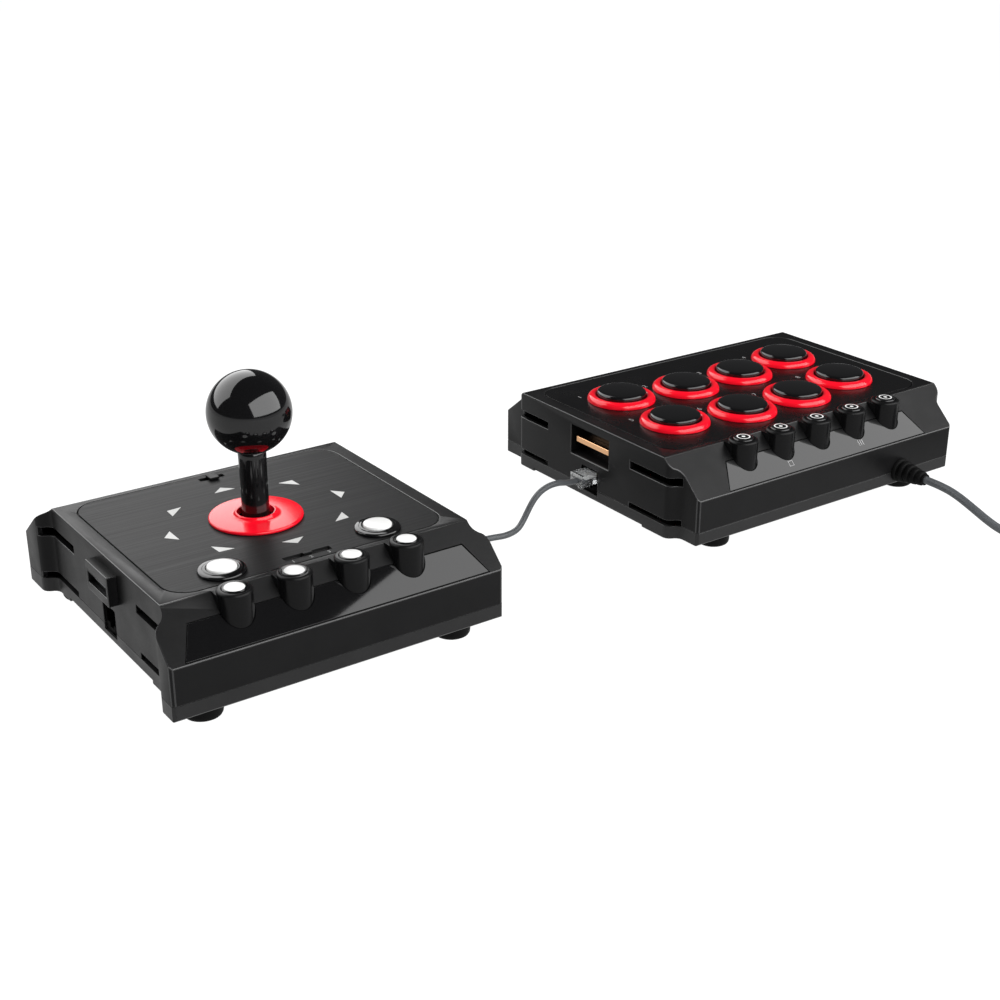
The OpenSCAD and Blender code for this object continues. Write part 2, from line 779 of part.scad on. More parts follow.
module dust_washer() {
  color("#e8142c") on_stick() translate([lever_x, lever_y, 0]) rotate_extrude() polygon([
    [washer_hole_r, washer_z], [washer_r, washer_z], [washer_r, washer_z + washer_t * 0.5],
    [washer_r - washer_t * 0.5, washer_z + washer_t],
    [washer_hole_r + 2.2 * collar_wall, washer_z + washer_t],
    [washer_hole_r + collar_wall, washer_z + washer_t + collar_h * 0.4],
    [washer_hole_r + collar_wall, collar_top - collar_h * 0.25],
    [washer_hole_r + collar_wall * 0.6, collar_top],
    [washer_hole_r, collar_top]
  ]);
}

module round_button_bezels() {
  top = case_h + bezel_h;
  color("#101011") on_stick() for (p = round_places) translate([p[0], p[1], 0]) rotate_extrude() polygon([
    [round_r + move_gap, case_h - bezel_barrel_l], [bezel_barrel_r, case_h - bezel_barrel_l],
    [bezel_barrel_r, case_h], [bezel_r, case_h], [bezel_r, case_h + bezel_h * 0.35],
    [bezel_r - bezel_h * 0.5, case_h + bezel_h * 0.8], [bezel_r - bezel_h, top],
    [round_r + move_gap, top]
  ]);
}
module round_button(p) {
  top = case_h + bezel_h + round_crown;
  color("#f2f2f0") on_stick() translate([p[0], p[1], 0]) rotate_extrude() polygon([
    [0, round_bottom], [round_r, round_bottom], [round_r, top - round_crown * 0.5],
    [round_r * 0.93, top - round_crown * 0.2], [round_r * 0.7, top - round_crown * 0.05],
    [round_r * 0.4, top], [0, top]
  ]);
}
module round_button_left() { round_button(round_places[0]); }
module round_button_right() { round_button(round_places[1]); }

module stick_key(i) {
  color("#f2f2f0") on_stick() translate([stick_key_x[i], -post_y, 0]) key_cap();
}
module stick_key_1() { stick_key(0); }
module stick_key_2() { stick_key(1); }
module stick_key_3() { stick_key(2); }
module stick_key_4() { stick_key(3); }

// Small square key switch standing on a board
module tact(p) {
  translate([p[0] - tact_w / 2, p[1] - tact_w / 2, key_board_top]) cube([tact_w, tact_w, tact_body_h]);
  translate([p[0], p[1], 0]) rod(tact_pin_r, key_board_top + tact_body_h / 2, tact_top);
}

// Front board of the lever case with its key switches and the body of the mode switch
module stick_front_board() {
  color("#1f6b3a") on_stick() {
    block(
      [-stick_board_half, -board_edge_y, key_board_z], [stick_board_half, -stick_board_rear, key_board_top]
    );
    for (x = stick_key_x) tact([x, -post_y]);
    for (p = round_places) tact(p);
    block(
      [mode_x - mode_body_l / 2, mode_y - switch_body_w / 2, key_board_top],
      [mode_x + mode_body_l / 2, mode_y + switch_body_w / 2, slider_foot_z - move_gap]
    );
  }
}
module rear_switch_board() {
  color("#1f6b3a") on_stick() translate([rear_slot_x, rear_slot_y, 0]) {
    block(
      [-rear_board_l / 2, -rear_board_w / 2, rear_board_z],
      [rear_board_l / 2, rear_board_w / 2, rear_board_z + board_t]
    );
    block(
      [-rear_body_l / 2, -switch_body_w / 2, rear_board_z + board_t],
      [rear_body_l / 2, switch_body_w / 2, slider_foot_z - move_gap]
    );
  }
}

// Foot and stem shared by both sliders
module slider_foot(stem_l) {
  block(
    [-slider_foot_l / 2, -slider_foot_w / 2, slider_foot_z],
    [slider_foot_l / 2, slider_foot_w / 2, slider_foot_top]
  );
  block([-stem_l / 2, -slider_stem_w / 2, slider_foot_z], [stem_l / 2, slider_stem_w / 2, case_h]);
}
module mode_slider() {
  color("#0e0e0f") on_stick() translate([mode_x, mode_y, 0]) {
    slider_foot(mode_stem_l);
    block(
      [-mode_stem_l / 2, -mode_knob_w / 2, inner_top],
      [mode_stem_l / 2, mode_knob_w / 2, case_h + mode_knob_h]
    );
  }
}
module rear_slider() {
  color("#0e0e0f") on_stick() translate([rear_slot_x, rear_slot_y, 0]) {
    slider_foot(rear_stem_l);
    block(
      [-rear_stem_l / 2, -slider_stem_w / 2, inner_top],
      [rear_stem_l / 2, slider_stem_w / 2, case_h + rear_knob_h]
    );
    block(
      [-rear_knob_l / 2, -rear_knob_w + slider_stem_w, case_h + move_gap],
      [rear_knob_l / 2, slider_stem_w, case_h + rear_knob_h]
    );
  }
}

// Puts its children on the lever axis
module on_lever() {
  on_stick() translate([lever_x, lever_y, 0]) children();
}

// Bearing frame of the lever, flat against the underside of the top shell
module lever_housing() {
  color("#2b2b2d") on_lever() difference() {
    union() {
      block(
        [-housing_half, -housing_half, inner_top - housing_t], [housing_half, housing_half, inner_top]
      );
      for (s = [-1, 1])
        block(
          [min(s * bearing_in, s * bearing_out), -bearing_w / 2, inner_top - bearing_drop],
          [max(s * bearing_in, s * bearing_out), bearing_w / 2, inner_top]
        );
      for (a = [0:90:270]) rotate([0, 0, a])
        block([leg_in, leg_in, leg_z], [gate_board_half, gate_board_half, inner_top - housing_t / 2]);
    }
    difference() {
      rod(ring_out_r + washer_t, inner_top - housing_t - overrun, inner_top + overrun);
      for (s = [-1, 1])
        block(
          [min(s * bearing_in, s * bearing_out), -bearing_w / 2, pivot_z - housing_half],
          [max(s * bearing_in, s * bearing_out), bearing_w / 2, pivot_z + housing_half]
        );
    }
    rotate([0, 90, 0]) translate([-pivot_z, 0, -bearing_out - overrun])
      cylinder(r = gimbal_pin_r + fit_gap, h = 2 * (bearing_out + overrun));
    for (sx = [-1, 1], sy = [-1, 1])
      translate([sx * lever_screw_at, sy * lever_screw_at, 0])
        rod(lever_screw_r + fit_gap, leg_z - overrun, leg_z + screw_bite + overrun);
  }
}

module lever_board() {
  color("#1f6b3a") on_lever() difference() {
    block([-gate_board_half, -gate_board_half, lever_board_z], [gate_board_half, gate_board_half, leg_z]);
    block(
      [-board_hole_half, -board_hole_half, lever_board_z - overrun],
      [board_hole_half, board_hole_half, leg_z + overrun]
    );
    for (sx = [-1, 1], sy = [-1, 1])
      translate([sx * lever_screw_at, sy * lever_screw_at, 0])
        rod(lever_screw_r + fit_gap, lever_board_z - overrun, leg_z + overrun);
  }
}

// Four microswitches round the actuator
module lever_switches() {
  color("#26262a") on_lever() for (a = [0:90:270]) rotate([0, 0, a]) {
    x0 = plunger_reach + switch_plunger_out;
    block(
      [x0, -lever_switch_l / 2, leg_z], [x0 + lever_switch_w, lever_switch_l / 2, leg_z + lever_switch_h]
    );
    translate([plunger_reach, 0, leg_z + lever_switch_h * 0.7]) rotate([0, 90, 0])
      cylinder(r = switch_plunger_r, h = switch_plunger_out * 2);
  }
}

module restrictor_gate() {
  color("#c9c9c4") on_lever() difference() {
    block([-gate_board_half, -gate_board_half, gate_z], [gate_board_half, gate_board_half, lever_board_z]);
    block([-gate_half, -gate_half, gate_z - overrun], [gate_half, gate_half, lever_board_z + overrun]);
    for (sx = [-1, 1], sy = [-1, 1])
      translate([sx * lever_screw_at, sy * lever_screw_at, 0])
        rod(lever_screw_r + fit_gap, gate_z - overrun, lever_board_z + overrun);
  }
}

module lever_screws() {
  color("#8f9296") on_lever() for (sx = [-1, 1], sy = [-1, 1])
    translate([sx * lever_screw_at, sy * lever_screw_at, 0]) {
      rod(lever_screw_r, gate_z, leg_z + screw_bite);
      rod(lever_screw_head_r, gate_z - lever_screw_head_h, gate_z);
    }
}

// Ring between the housing and the lever: it turns on X in the housing and carries the lever on Y
module gimbal_ring() {
  color("#b9bcc0") on_lever() difference() {
    union() {
      difference() {
        rod(ring_out_r, pivot_z - gimbal_h / 2, pivot_z + gimbal_h / 2);
        rod(ring_in_r, pivot_z - gimbal_h, pivot_z + gimbal_h);
      }
      for (a = [0, 180]) rotate([0, 0, a])
        translate([gimbal_pin_in, 0, pivot_z]) rotate([0, 90, 0])
          cylinder(r = gimbal_pin_r, h = gimbal_pin_out - gimbal_pin_in);
    }
    translate([0, ring_out_r + overrun, pivot_z]) rotate([90, 0, 0])
      cylinder(r = cross_pin_r + fit_gap, h = 2 * (ring_out_r + overrun));
  }
}

// Steel shaft with its hub and cross pin
module lever_shaft() {
  color("#a9acb1") on_lever() {
    rod(shaft_r, shaft_tip_z, ball_z);
    rod(hub_r, pivot_z - hub_h / 2, pivot_z + hub_h / 2);
    translate([0, cross_pin_half, pivot_z]) rotate([90, 0, 0])
      cylinder(r = cross_pin_r, h = 2 * cross_pin_half);
  }
}
module shaft_sleeve() {
  color("#0c0c0d") on_lever() difference() {
    rod(sleeve_r, pivot_z + hub_h / 2, ball_flat_z);
    rod(shaft_r + fit_gap, pivot_z, ball_z);
  }
}
module ball_top() {
  color("#080809") on_lever() difference() {
    translate([0, 0, ball_z]) sphere(ball_r, $fn = 96);
    rod(ball_r, ball_z - ball_r - overrun, ball_flat_z);
    rod(shaft_r + fit_gap, ball_z - ball_r - overrun, ball_z + fit_gap);
  }
}
module lever_actuator() {
  color("#d9d9d4") on_lever() difference() {
    rod(actuator_r, actuator_z, actuator_z + actuator_h);
    rod(shaft_r + fit_gap, actuator_z - overrun, actuator_z + actuator_h + overrun);
  }
}
module lever_spring() {
  color("#a0a3a8") on_lever() difference() {
    rod(spring_r, actuator_z + actuator_h, pivot_z - hub_h / 2);
    rod(shaft_r + move_gap, actuator_z, pivot_z);
  }
}
module shaft_clip() {
  color("#8f9296") on_lever() difference() {
    rod(clip_r, clip_z, clip_z + clip_t);
    rod(shaft_r + fit_gap, clip_z - overrun, clip_z + clip_t + overrun);
  }
}

// Windows in the side bulges, with the pocket behind each
module window_pockets(grow, depth, from) {
  for (mirror_x = [0, 1]) mirror([mirror_x, 0, 0])
    block(
      [button_side - depth, window_y - window_w / 2 - grow, window_z - grow],
      [button_side + from, window_y + window_w / 2 + grow, window_z + window_h + grow]
    );
}
// Sloping cut under the lower edge of each window
module window_sills() {
  for (mirror_x = [0, 1]) mirror([mirror_x, 0, 0])
    translate([button_side, window_y + window_w / 2, window_z]) rotate([90, 0, 0])
      linear_extrude(window_w)
        polygon([[-sill_cut, overrun], [-sill_cut, 0], [overrun, -sill_cut], [overrun, overrun]]);
}
module button_top_shell() {
  color("#2c2c2f") on_button() difference() {
    union() {
      difference() {
        case_body(button_ear, button_side, 0, parting_z);
        case_body(button_ear, button_side, wall, parting_z - overrun);
        slope_recess(button_plate_half);
      }
      key_posts(button_key_x);
      drill(button_screw_places, boss_r, boss_bottom, inner_top + wall / 2);
      window_pockets(pocket_t, window_d + pocket_t, -wall / 2);
    }
    window_pockets(0, window_d, overrun);
    window_sills();
    translate([0, 0, case_h - panel_t])
      linear_extrude(case_h) soft_rect(
        -button_side + panel_edge - panel_gap, button_side - panel_edge + panel_gap,
        -panel_front_y - panel_gap, panel_rear_y + panel_gap, panel_r + panel_gap
      );
    key_bores(button_key_x);
    drill(action_places, barrel_r + seat_gap, inner_top - overrun, case_h + overrun);
    jack_openings(button_side);
    vents(button_ear, button_side);
    drill(button_screw_places, screw_r + fit_gap, boss_bottom - overrun, boss_bottom + screw_bite);
    boot_hole();
  }
}
module boot_hole() {
  translate([boot_x, -half_d + wall + overrun, boot_z]) rotate([90, 0, 0])
    cylinder(r = boot_neck_r + fit_gap, h = wall + 2 * overrun);
}
module button_base_shell() {
  places = concat(
    [for (p = main_standoffs) [p[0], p[1], main_board_z]],
    [for (p = button_key_standoffs) [p[0], p[1], key_board_z]]
  );
  color("#3c3c3f") on_button() difference() {
    base_shell(button_ear, button_side, button_screw_places, places);
    boot_hole();
  }
}
module button_top_panel() {
  color("#19191a") on_button() difference() {
    translate([0, 0, case_h - panel_t]) linear_extrude(panel_t) soft_rect(
      -button_side + panel_edge, button_side - panel_edge, -panel_front_y, panel_rear_y, panel_r
    );
    drill(action_places, barrel_r + seat_gap, inner_top, case_h + overrun);
  }
}
module button_slope_plate() {
  color("#58585a") on_button() slope_plate(button_plate_half, button_key_x);
}

// Red housings: a rounded flange on the panel and a cup below it
module action_housings() {
  top = case_h + ring_h;
  rim = ring_h * ring_rim_share;
  profile = concat(
    [
      [stem_hole_r, housing_floor_z], [barrel_r, housing_floor_z], [barrel_r, case_h], [ring_r, case_h],
      [ring_r, case_h + rim]
    ],
    [for (i = [1:ring_steps]) let (a = 90 * i / ring_steps)
      [ring_r - ring_h * (1 - cos(a)), case_h + rim + (ring_h - rim) * sin(a)]],
    [
      [action_bore_r + rim, top], [action_bore_r, top - rim],
      [action_bore_r, housing_floor_z + housing_floor_t], [stem_hole_r, housing_floor_z + housing_floor_t]
    ]
  );
  color("#f01428") on_button() for (p = action_places)
    translate([p[0], p[1], 0]) rotate_extrude() polygon(profile);
}
module action_switches() {
  color("#1b1b1e") on_button() for (p = action_places) translate([p[0], p[1], 0]) {
    block([-micro_l / 2, -micro_w / 2, main_board_top], [micro_l / 2, micro_w / 2, housing_floor_z]);
    rod(switch_pin_r, housing_floor_z - overrun, switch_tip_z);
  }
}
module button_main_board() {
  color("#1f6b3a") on_button()
    block(
      [-main_board_half, -main_board_front, main_board_z],
      [main_board_half, main_board_rear, main_board_top]
    );
}
module button_key_board() {
  color("#1f6b3a") on_button() {
    block(
      [-button_key_board_half, -board_edge_y, key_board_z],
      [button_key_board_half, -button_key_board_rear, key_board_top]
    );
    for (x = button_key_x) tact([x, -post_y]);
  }
}
module contact_bars() {
  half_l = window_w / 2 - bar_end_gap;
  web_t = bar_h * bar_web_share;
  color("#d9a066") on_button() for (mirror_x = [0, 1]) mirror([mirror_x, 0, 0])
    translate([button_side, window_y, bar_z + bar_h / 2]) {
      block([-bar_in - bar_t, -half_l, -bar_h / 2], [-bar_in, half_l, bar_h / 2]);
      block([-window_d, -half_l, -web_t / 2], [-bar_in - bar_t / 2, half_l, web_t / 2]);
    }
}

module action_button(i) {
  top = case_h + action_h;
  profile = concat(
    [[0, stem_bottom], [stem_r, stem_bottom], [stem_r, cap_bottom], [action_r, cap_bottom]],
    [for (k = [0:cap_steps]) let (a = 90 * k / cap_steps)
      [action_r - cap_round * (1 - cos(a)), top - cap_crown - cap_round * (1 - sin(a))]],
    [[action_r * 0.6, top - cap_crown * 0.25], [action_r * 0.3, top], [0, top]]
  );
  color("#0b0b0c") on_button() translate([action_places[i][0], action_places[i][1], 0])
    rotate_extrude() polygon(profile);
}
module action_button_1() { action_button(0); }
module action_button_2() { action_button(1); }
module action_button_3() { action_button(2); }
module action_button_4() { action_button(3); }
module action_button_5() { action_button(4); }
module action_button_6() { action_button(5); }
module action_button_7() { action_button(6); }
module action_button_8() { action_button(7); }

module button_key(i) {
  color("#131314") on_button() translate([button_key_x[i], -post_y, 0]) key_cap();
}
module button_key_1() { button_key(0); }
module button_key_2() { button_key(1); }
module button_key_3() { button_key(2); }
module button_key_4() { button_key(3); }
module button_key_5() { button_key(4); }

module foot() {
  rotate_extrude() polygon([
    [0, 0], [foot_r - foot_h * 0.22, 0], [foot_r - foot_h * 0.08, foot_h * 0.06],
    [foot_r, foot_h * 0.22], [foot_r, foot_h], [0, foot_h]
  ]);
}
module rubber_feet() {
  color("#0d0d0d") for (sx = [-1, 1], sy = [-1, 1]) {
    on_stick() translate([sx * stick_foot_x, sy * foot_y, 0]) foot();
    on_button() translate([sx * button_foot_x, sy * foot_y, 0]) foot();
  }
}
module case_screw() {
  rod(screw_r, foot_h + screw_head_h, boss_bottom + screw_bite - overrun);
  rod(screw_head_r, foot_h + screw_head_h / 4, foot_h + screw_head_h);
}
module case_screws() {
  color("#8f9296") {
    on_stick() for (p = stick_screw_places) translate([p[0], p[1], 0]) case_screw();
    on_button() for (p = button_screw_places) translate([p[0], p[1], 0]) case_screw();
  }
}

// Modular jack for the right side of a case
module jack(side) {
  face = side - jack_face_in;
  difference() {
    union() {
      block(
        [side - wall - jack_gap - jack_block_d, jack_y - jack_block_w / 2, floor_top],
        [side - wall - jack_gap, jack_y + jack_block_w / 2, jack_block_top]
      );
      block(
        [side - wall - jack_gap - overrun, jack_y - jack_w / 2 + jack_gap, jack_z + jack_gap],
        [face, jack_y + jack_w / 2 - jack_gap, jack_z + jack_h - jack_gap]
      );
    }
    block(
      [face - socket_d, jack_y - socket_w / 2, socket_z],
      [face + overrun, jack_y + socket_w / 2, socket_z + socket_h]
    );
    block(
      [face - socket_d, jack_y - latch_slot_w / 2, socket_z - latch_slot_h],
      [face + overrun, jack_y + latch_slot_w / 2, socket_z + overrun]
    );
  }
}
module link_jacks() {
  color("#141415") for (mirror_x = [0, 1]) {
    on_stick() mirror([mirror_x, 0, 0]) jack(stick_side);
    on_button() mirror([mirror_x, 0, 0]) jack(button_side);
  }
}

// Clear plug in a right-side jack, with its latch below
module plug(side) {
  y0 = jack_y - plug_w / 2;
  z0 = socket_mid_z - plug_h / 2;
  nose = side - plug_in;
  latch_z = z0 - latch_slot_h + move_gap;
  block([nose, y0, z0], [side + plug_out, y0 + plug_w, z0 + plug_h]);
  difference() {
    block([nose, jack_y - latch_w / 2, latch_z], [side + latch_out, jack_y + latch_w / 2, z0 + overrun]);
    block(
      [nose + latch_root, jack_y - latch_w, latch_z + latch_t], [side + plug_out, jack_y + latch_w, z0]
    );
  }
}
module link_plugs() {
  color("#dfe6ea") {
    on_stick() plug(stick_side);
    on_button() mirror([1, 0, 0]) plug(button_side);
  }
}

// Boot of the USB cord: a flange inside the case, a neck in the wall, and a ribbed taper outside
function boot_radius(share) = boot_r + (boot_tip_r - boot_r) * share;
module usb_boot() {
  root = wall + seat_gap + boot_flange_t / 2;
  ribs = [for (i = [0:boot_ribs - 1], k = [0:3])
    let (share = (i + boot_rib_shares[k]) / boot_ribs)
    [boot_radius(share) - (k < 2 ? 0 : boot_groove), share * boot_l]];
  profile = concat(
    [[0, -root], [boot_neck_r, -root], [boot_neck_r, 0]], ribs, [[boot_tip_r, boot_l], [0, boot_l]]
  );
  color("#0c0c0d") on_button() {
    translate([boot_x, -half_d, boot_z]) rotate([90, 0, 0]) rotate_extrude() polygon(profile);
    block(
      [boot_x - boot_flange_w / 2, -half_d + wall + seat_gap, boot_z - boot_flange_h / 2],
      [boot_x + boot_flange_w / 2, -half_d + wall + seat_gap + boot_flange_t, boot_z + boot_flange_h / 2]
    );
  }
}

// Round tube swept along a list of points, with a given number of sides
function unit(v) = v / norm(v);
function tangent(points, i) =
  unit(points[min(i + 1, len(points) - 1)] - points[max(i - 1, 0)]);
function ring_at(p, t, r, sides) =
  let (u = unit(cross([0, 0, 1], t)), w = cross(t, u))
  [for (k = [0:sides - 1]) p + r * (cos(360 * (k + 0.5) / sides) * u + sin(360 * (k + 0.5) / sides) * w)];
module tube(points, tangents, r, sides) {
  n = len(points);
  rings = [for (i = [0:n - 1]) each ring_at(points[i], tangents[i], r, sides)];
  end = (n - 1) * sides;
  walls = [for (i = [0:n - 2], k = [0:sides - 1])
    let (a = i * sides + k, b = i * sides + (k + 1) % sides)
    each [[a, b + sides, b], [a, a + sides, b + sides]]];
  caps = [for (k = [1:sides - 2]) each [[0, k, k + 1], [end, end + k + 1, end + k]]];
  polyhedron(points = rings, faces = concat(walls, caps));
}

// Smooth curve through route points, with a few rings between neighbours
function blend_point(a, b, c, d, f) =
  0.5 * ((2 * b) + (c - a) * f + (2 * a - 5 * b + 4 * c - d) * f * f + (3 * b - a - 3 * c + d) * f * f * f);
function smooth_route(p, n) = concat(
  [for (i = [0:len(p) - 2], k = [0:n - 1])
    blend_point(p[max(i - 1, 0)], p[i], p[i + 1], p[min(i + 2, len(p) - 1)], k / n)],
  [p[len(p) - 1]]
);
module cord(route, r, sides, n) {
  points = smooth_route(route, n);
  last = len(points) - 1;
  tangents = [for (i = [0:last])
    i == 0 ? unit(route[1] - route[0]) : i == last ? unit(route[len(route) - 1] - route[len(route) - 2])
    : tangent(points, i)];
  tube(points, tangents, r, sides);
}
module link_cord() {
  color("#5c6064") cord(link_route, link_d / 2, 8, 2);
}
module usb_cord() {
  color("#3a3c3f") cord(usb_route, usb_d / 2, 8, 2);
}
module usb_tail() {
  color("#3a3c3f") cord(tail_route, usb_d / 2, 8, 2);
}

// Coil: layers that spiral in and out by turns, climbing in the half turn round each reversal
coil_total = coil_turns * 360;
layer_angle = layer_turns * 360;
function coil_radius(a) =
  let (k = min(floor(a / layer_angle), coil_layers - 1), f = a / layer_angle - k)
  k % 2 == 0 ? coil_out_r + (coil_in_r - coil_out_r) * f : coil_in_r + (coil_out_r - coil_in_r) * f;
function climb(a) = a <= -90 ? 0 : a >= 90 ? 1 : (1 + sin(a)) / 2;
function coil_height(a) =
  coil_z + coil_step * (climb(a - layer_angle) + climb(a - 2 * layer_angle) + climb(a - 3 * layer_angle));
function coil_point(a) =
  [coil_x + coil_radius(a) * sin(a), coil_y - coil_radius(a) * cos(a), coil_height(a)];
coil_count = round(coil_turns * coil_rings);
coil_turn_points = [for (i = [0:coil_count]) coil_point(coil_total * i / coil_count)];
coil_points = concat([coil_turn_points[0] - [usb_d, 0, 0]], coil_turn_points, [tail_start]);
module usb_coil() {
  last = len(coil_points) - 1;
  tangents = [for (i = [0:last])
    i < 2 ? [1, 0, 0] : i > last - 2 ? [0, 1, 0] : tangent(coil_points, i)];
  color("#3a3c3f") tube(coil_points, tangents, usb_d / 2, 6);
}
coil_gaps = [for (i = [0:2:coil_count - coil_rings], j = [i + round(coil_rings * 0.6):coil_count])
  norm(coil_turn_points[i] - coil_turn_points[j]) - usb_d];
echo(coil_least_gap = min(coil_gaps), coil_length = coil_total * PI / 180 * coil_r);

// USB plug: a moulded grip and a metal shell
module usb_plug() {
  start = tail_route[len(tail_route) - 1];
  color("#1a1a1b") translate(start) {
    block([-plug_grip_w / 2, 0, -plug_grip_t / 2], [plug_grip_w / 2, plug_grip_l, plug_grip_t / 2]);
  }
  color("#c8cbd0") translate(start) difference() {
    block(
      [-plug_shell_w / 2, plug_grip_l, -plug_shell_t / 2],
      [plug_shell_w / 2, plug_grip_l + plug_shell_l, plug_shell_t / 2]
    );
    block(
      [-plug_shell_w / 2 + plug_shell_wall, plug_grip_l + plug_shell_wall, 0],
      [
        plug_shell_w / 2 - plug_shell_wall, plug_grip_l + plug_shell_l + overrun,
        plug_shell_t / 2 - plug_shell_wall
      ]
    );
  }
}

stick_top_shell();
stick_base_shell();
stick_top_panel();
stick_slope_plate();
dust_washer();
round_button_bezels();
lever_housing();
lever_board();
lever_switches();
restrictor_gate();
lever_screws();
stick_front_board();
rear_switch_board();
gimbal_ring();
lever_shaft();
shaft_sleeve();
ball_top();
lever_actuator();
lever_spring();
shaft_clip();
round_button_left();
round_button_right();
stick_key_1();
stick_key_2();
stick_key_3();
stick_key_4();
mode_slider();
rear_slider();
button_top_shell();
button_base_shell();
button_top_panel();
button_slope_plate();
action_housings();
action_switches();
button_main_board();
button_key_board();
contact_bars();
action_button_1();
action_button_2();
action_button_3();
action_button_4();
action_button_5();
action_button_6();
action_button_7();
action_button_8();
button_key_1();
button_key_2();
button_key_3();
button_key_4();
button_key_5();
rubber_feet();
case_screws();
link_jacks();
link_plugs();
link_cord();
usb_boot();
usb_cord();
usb_coil();
usb_tail();
usb_plug();
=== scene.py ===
import json
import math

import bmesh
import bpy
from mathutils import Matrix, Vector


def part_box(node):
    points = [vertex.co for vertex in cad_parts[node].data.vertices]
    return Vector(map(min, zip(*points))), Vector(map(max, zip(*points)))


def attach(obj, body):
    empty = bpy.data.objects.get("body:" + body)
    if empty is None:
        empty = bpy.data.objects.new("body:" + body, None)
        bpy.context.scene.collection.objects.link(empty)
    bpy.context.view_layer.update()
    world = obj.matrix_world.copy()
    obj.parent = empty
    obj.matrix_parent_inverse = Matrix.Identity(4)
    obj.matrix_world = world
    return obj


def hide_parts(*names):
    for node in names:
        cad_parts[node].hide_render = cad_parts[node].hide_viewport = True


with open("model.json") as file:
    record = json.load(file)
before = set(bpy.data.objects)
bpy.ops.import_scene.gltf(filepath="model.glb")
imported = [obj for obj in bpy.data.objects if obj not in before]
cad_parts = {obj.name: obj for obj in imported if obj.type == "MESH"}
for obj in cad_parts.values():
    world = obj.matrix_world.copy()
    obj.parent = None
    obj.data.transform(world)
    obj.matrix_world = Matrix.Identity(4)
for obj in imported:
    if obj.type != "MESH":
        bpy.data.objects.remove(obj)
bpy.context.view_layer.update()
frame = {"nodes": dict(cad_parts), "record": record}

# Looks for the arcade fight stick in two cases. Everything is in metres, in the part's own frame.
MM = 0.001
TURN = 2 * math.pi
LINE_LIFT = 0.04 * MM
LEVER_CASE_X = -145.7 * MM
LEVER_CASE_Y = -2.85 * MM
BUTTON_CASE_X = 127.9 * MM
BUTTON_CASE_Y = 2.85 * MM
CASE_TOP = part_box("stick_top_panel")[1][2]

slots = {s["node"]: s["material_slot"] for s in frame["record"]["subparts"]}
body_of_node = {n: b for b, nodes in frame["record"]["behaviour"]["bodies"].items() for n in nodes}


# Camera, fitted to the photograph
camera_data = bpy.data.cameras.new("camera")
camera_data.lens = 56.27
camera_data.sensor_width = 36
camera = bpy.data.objects.new("camera", camera_data)
camera.location = (-0.4088, -0.5545, 0.31)
camera.rotation_euler = (math.radians(90 - 23.08), 0, math.radians(-35.18))
bpy.context.collection.objects.link(camera)
bpy.context.scene.camera = camera


# Materials
def node_kit(name):
    """A new material and two helpers: one adds a node, one joins two sockets."""
    material = bpy.data.materials.new(name)
    material.use_nodes = True
    tree = material.node_tree
    tree.nodes.clear()

    def add(kind, inputs=(), **settings):
        node = tree.nodes.new(kind)
        for key, value in settings.items():
            setattr(node, key, value)
        for key, value in dict(inputs).items():
            node.inputs[key].default_value = value
        return node

    def join(source, target):
        tree.links.new(source, target)

    return material, add, join


# Noise values between which a finish goes from one end to the other
NOISE_LOW, NOISE_HIGH = 0.3, 0.7


def surface(
    name, colour, rough, specular=0.5, metallic=0.0, coat=0.0, vary=0.12, vary_scale=60,
    rough_vary=0.06, grain=0.0, grain_scale=3000, stretch=(1, 1, 1), clear=0.0, ior=1.5,
):
    """A shader whose colour, roughness and relief follow noise in the piece's own space."""
    material, add, join = node_kit(name)
    out = add("ShaderNodeOutputMaterial")
    shader = add("ShaderNodeBsdfPrincipled", {
        "Metallic": metallic, "Coat Weight": coat, "Coat Roughness": 0.04,
        "Specular IOR Level": specular, "Transmission Weight": clear, "IOR": ior,
    })
    join(shader.outputs["BSDF"], out.inputs["Surface"])
    space = add("ShaderNodeTexCoord")
    mapping = add("ShaderNodeMapping", {"Scale": stretch})
    join(space.outputs["Object"], mapping.inputs["Vector"])

    broad = add("ShaderNodeTexNoise", {"Scale": vary_scale, "Detail": 5.0, "Roughness": 0.6})
    join(mapping.outputs["Vector"], broad.inputs["Vector"])
    ramp = add("ShaderNodeValToRGB")
    for stop, share in zip(ramp.color_ramp.elements, (1 - vary, 1 + vary)):
        stop.color = (*[min(1, c * share) for c in colour], 1)
    ramp.color_ramp.elements[0].position = NOISE_LOW
    ramp.color_ramp.elements[1].position = NOISE_HIGH
    join(broad.outputs["Fac"], ramp.inputs["Fac"])
    join(ramp.outputs["Color"], shader.inputs["Base Color"])

    spread = add("ShaderNodeMapRange", {
        "From Min": NOISE_LOW, "From Max": NOISE_HIGH,
        "To Min": max(0.02, rough - rough_vary), "To Max": rough + rough_vary,
    })
    join(broad.outputs["Fac"], spread.inputs["Value"])
    join(spread.outputs["Result"], shader.inputs["Roughness"])

    if grain:
        fine = add("ShaderNodeTexNoise", {"Scale": grain_scale, "Detail": 2.0})
        join(mapping.outputs["Vector"], fine.inputs["Vector"])
        bump = add("ShaderNodeBump", {"Strength": grain, "Distance": 0.1 * MM})
        join(fine.outputs["Fac"], bump.inputs["Height"])
        join(bump.outputs["Normal"], shader.inputs["Normal"])
        if coat:
            join(bump.outputs["Normal"], shader.inputs["Coat Normal"])
    return material


BRUSH_ALONG_X = (6, 900, 900)
BRUSH_ALONG_Y = (900, 10, 900)
BRUSH_ROUND_Z = (40, 40, 2500)
STREAK_ALONG_Z = (900, 900, 60)

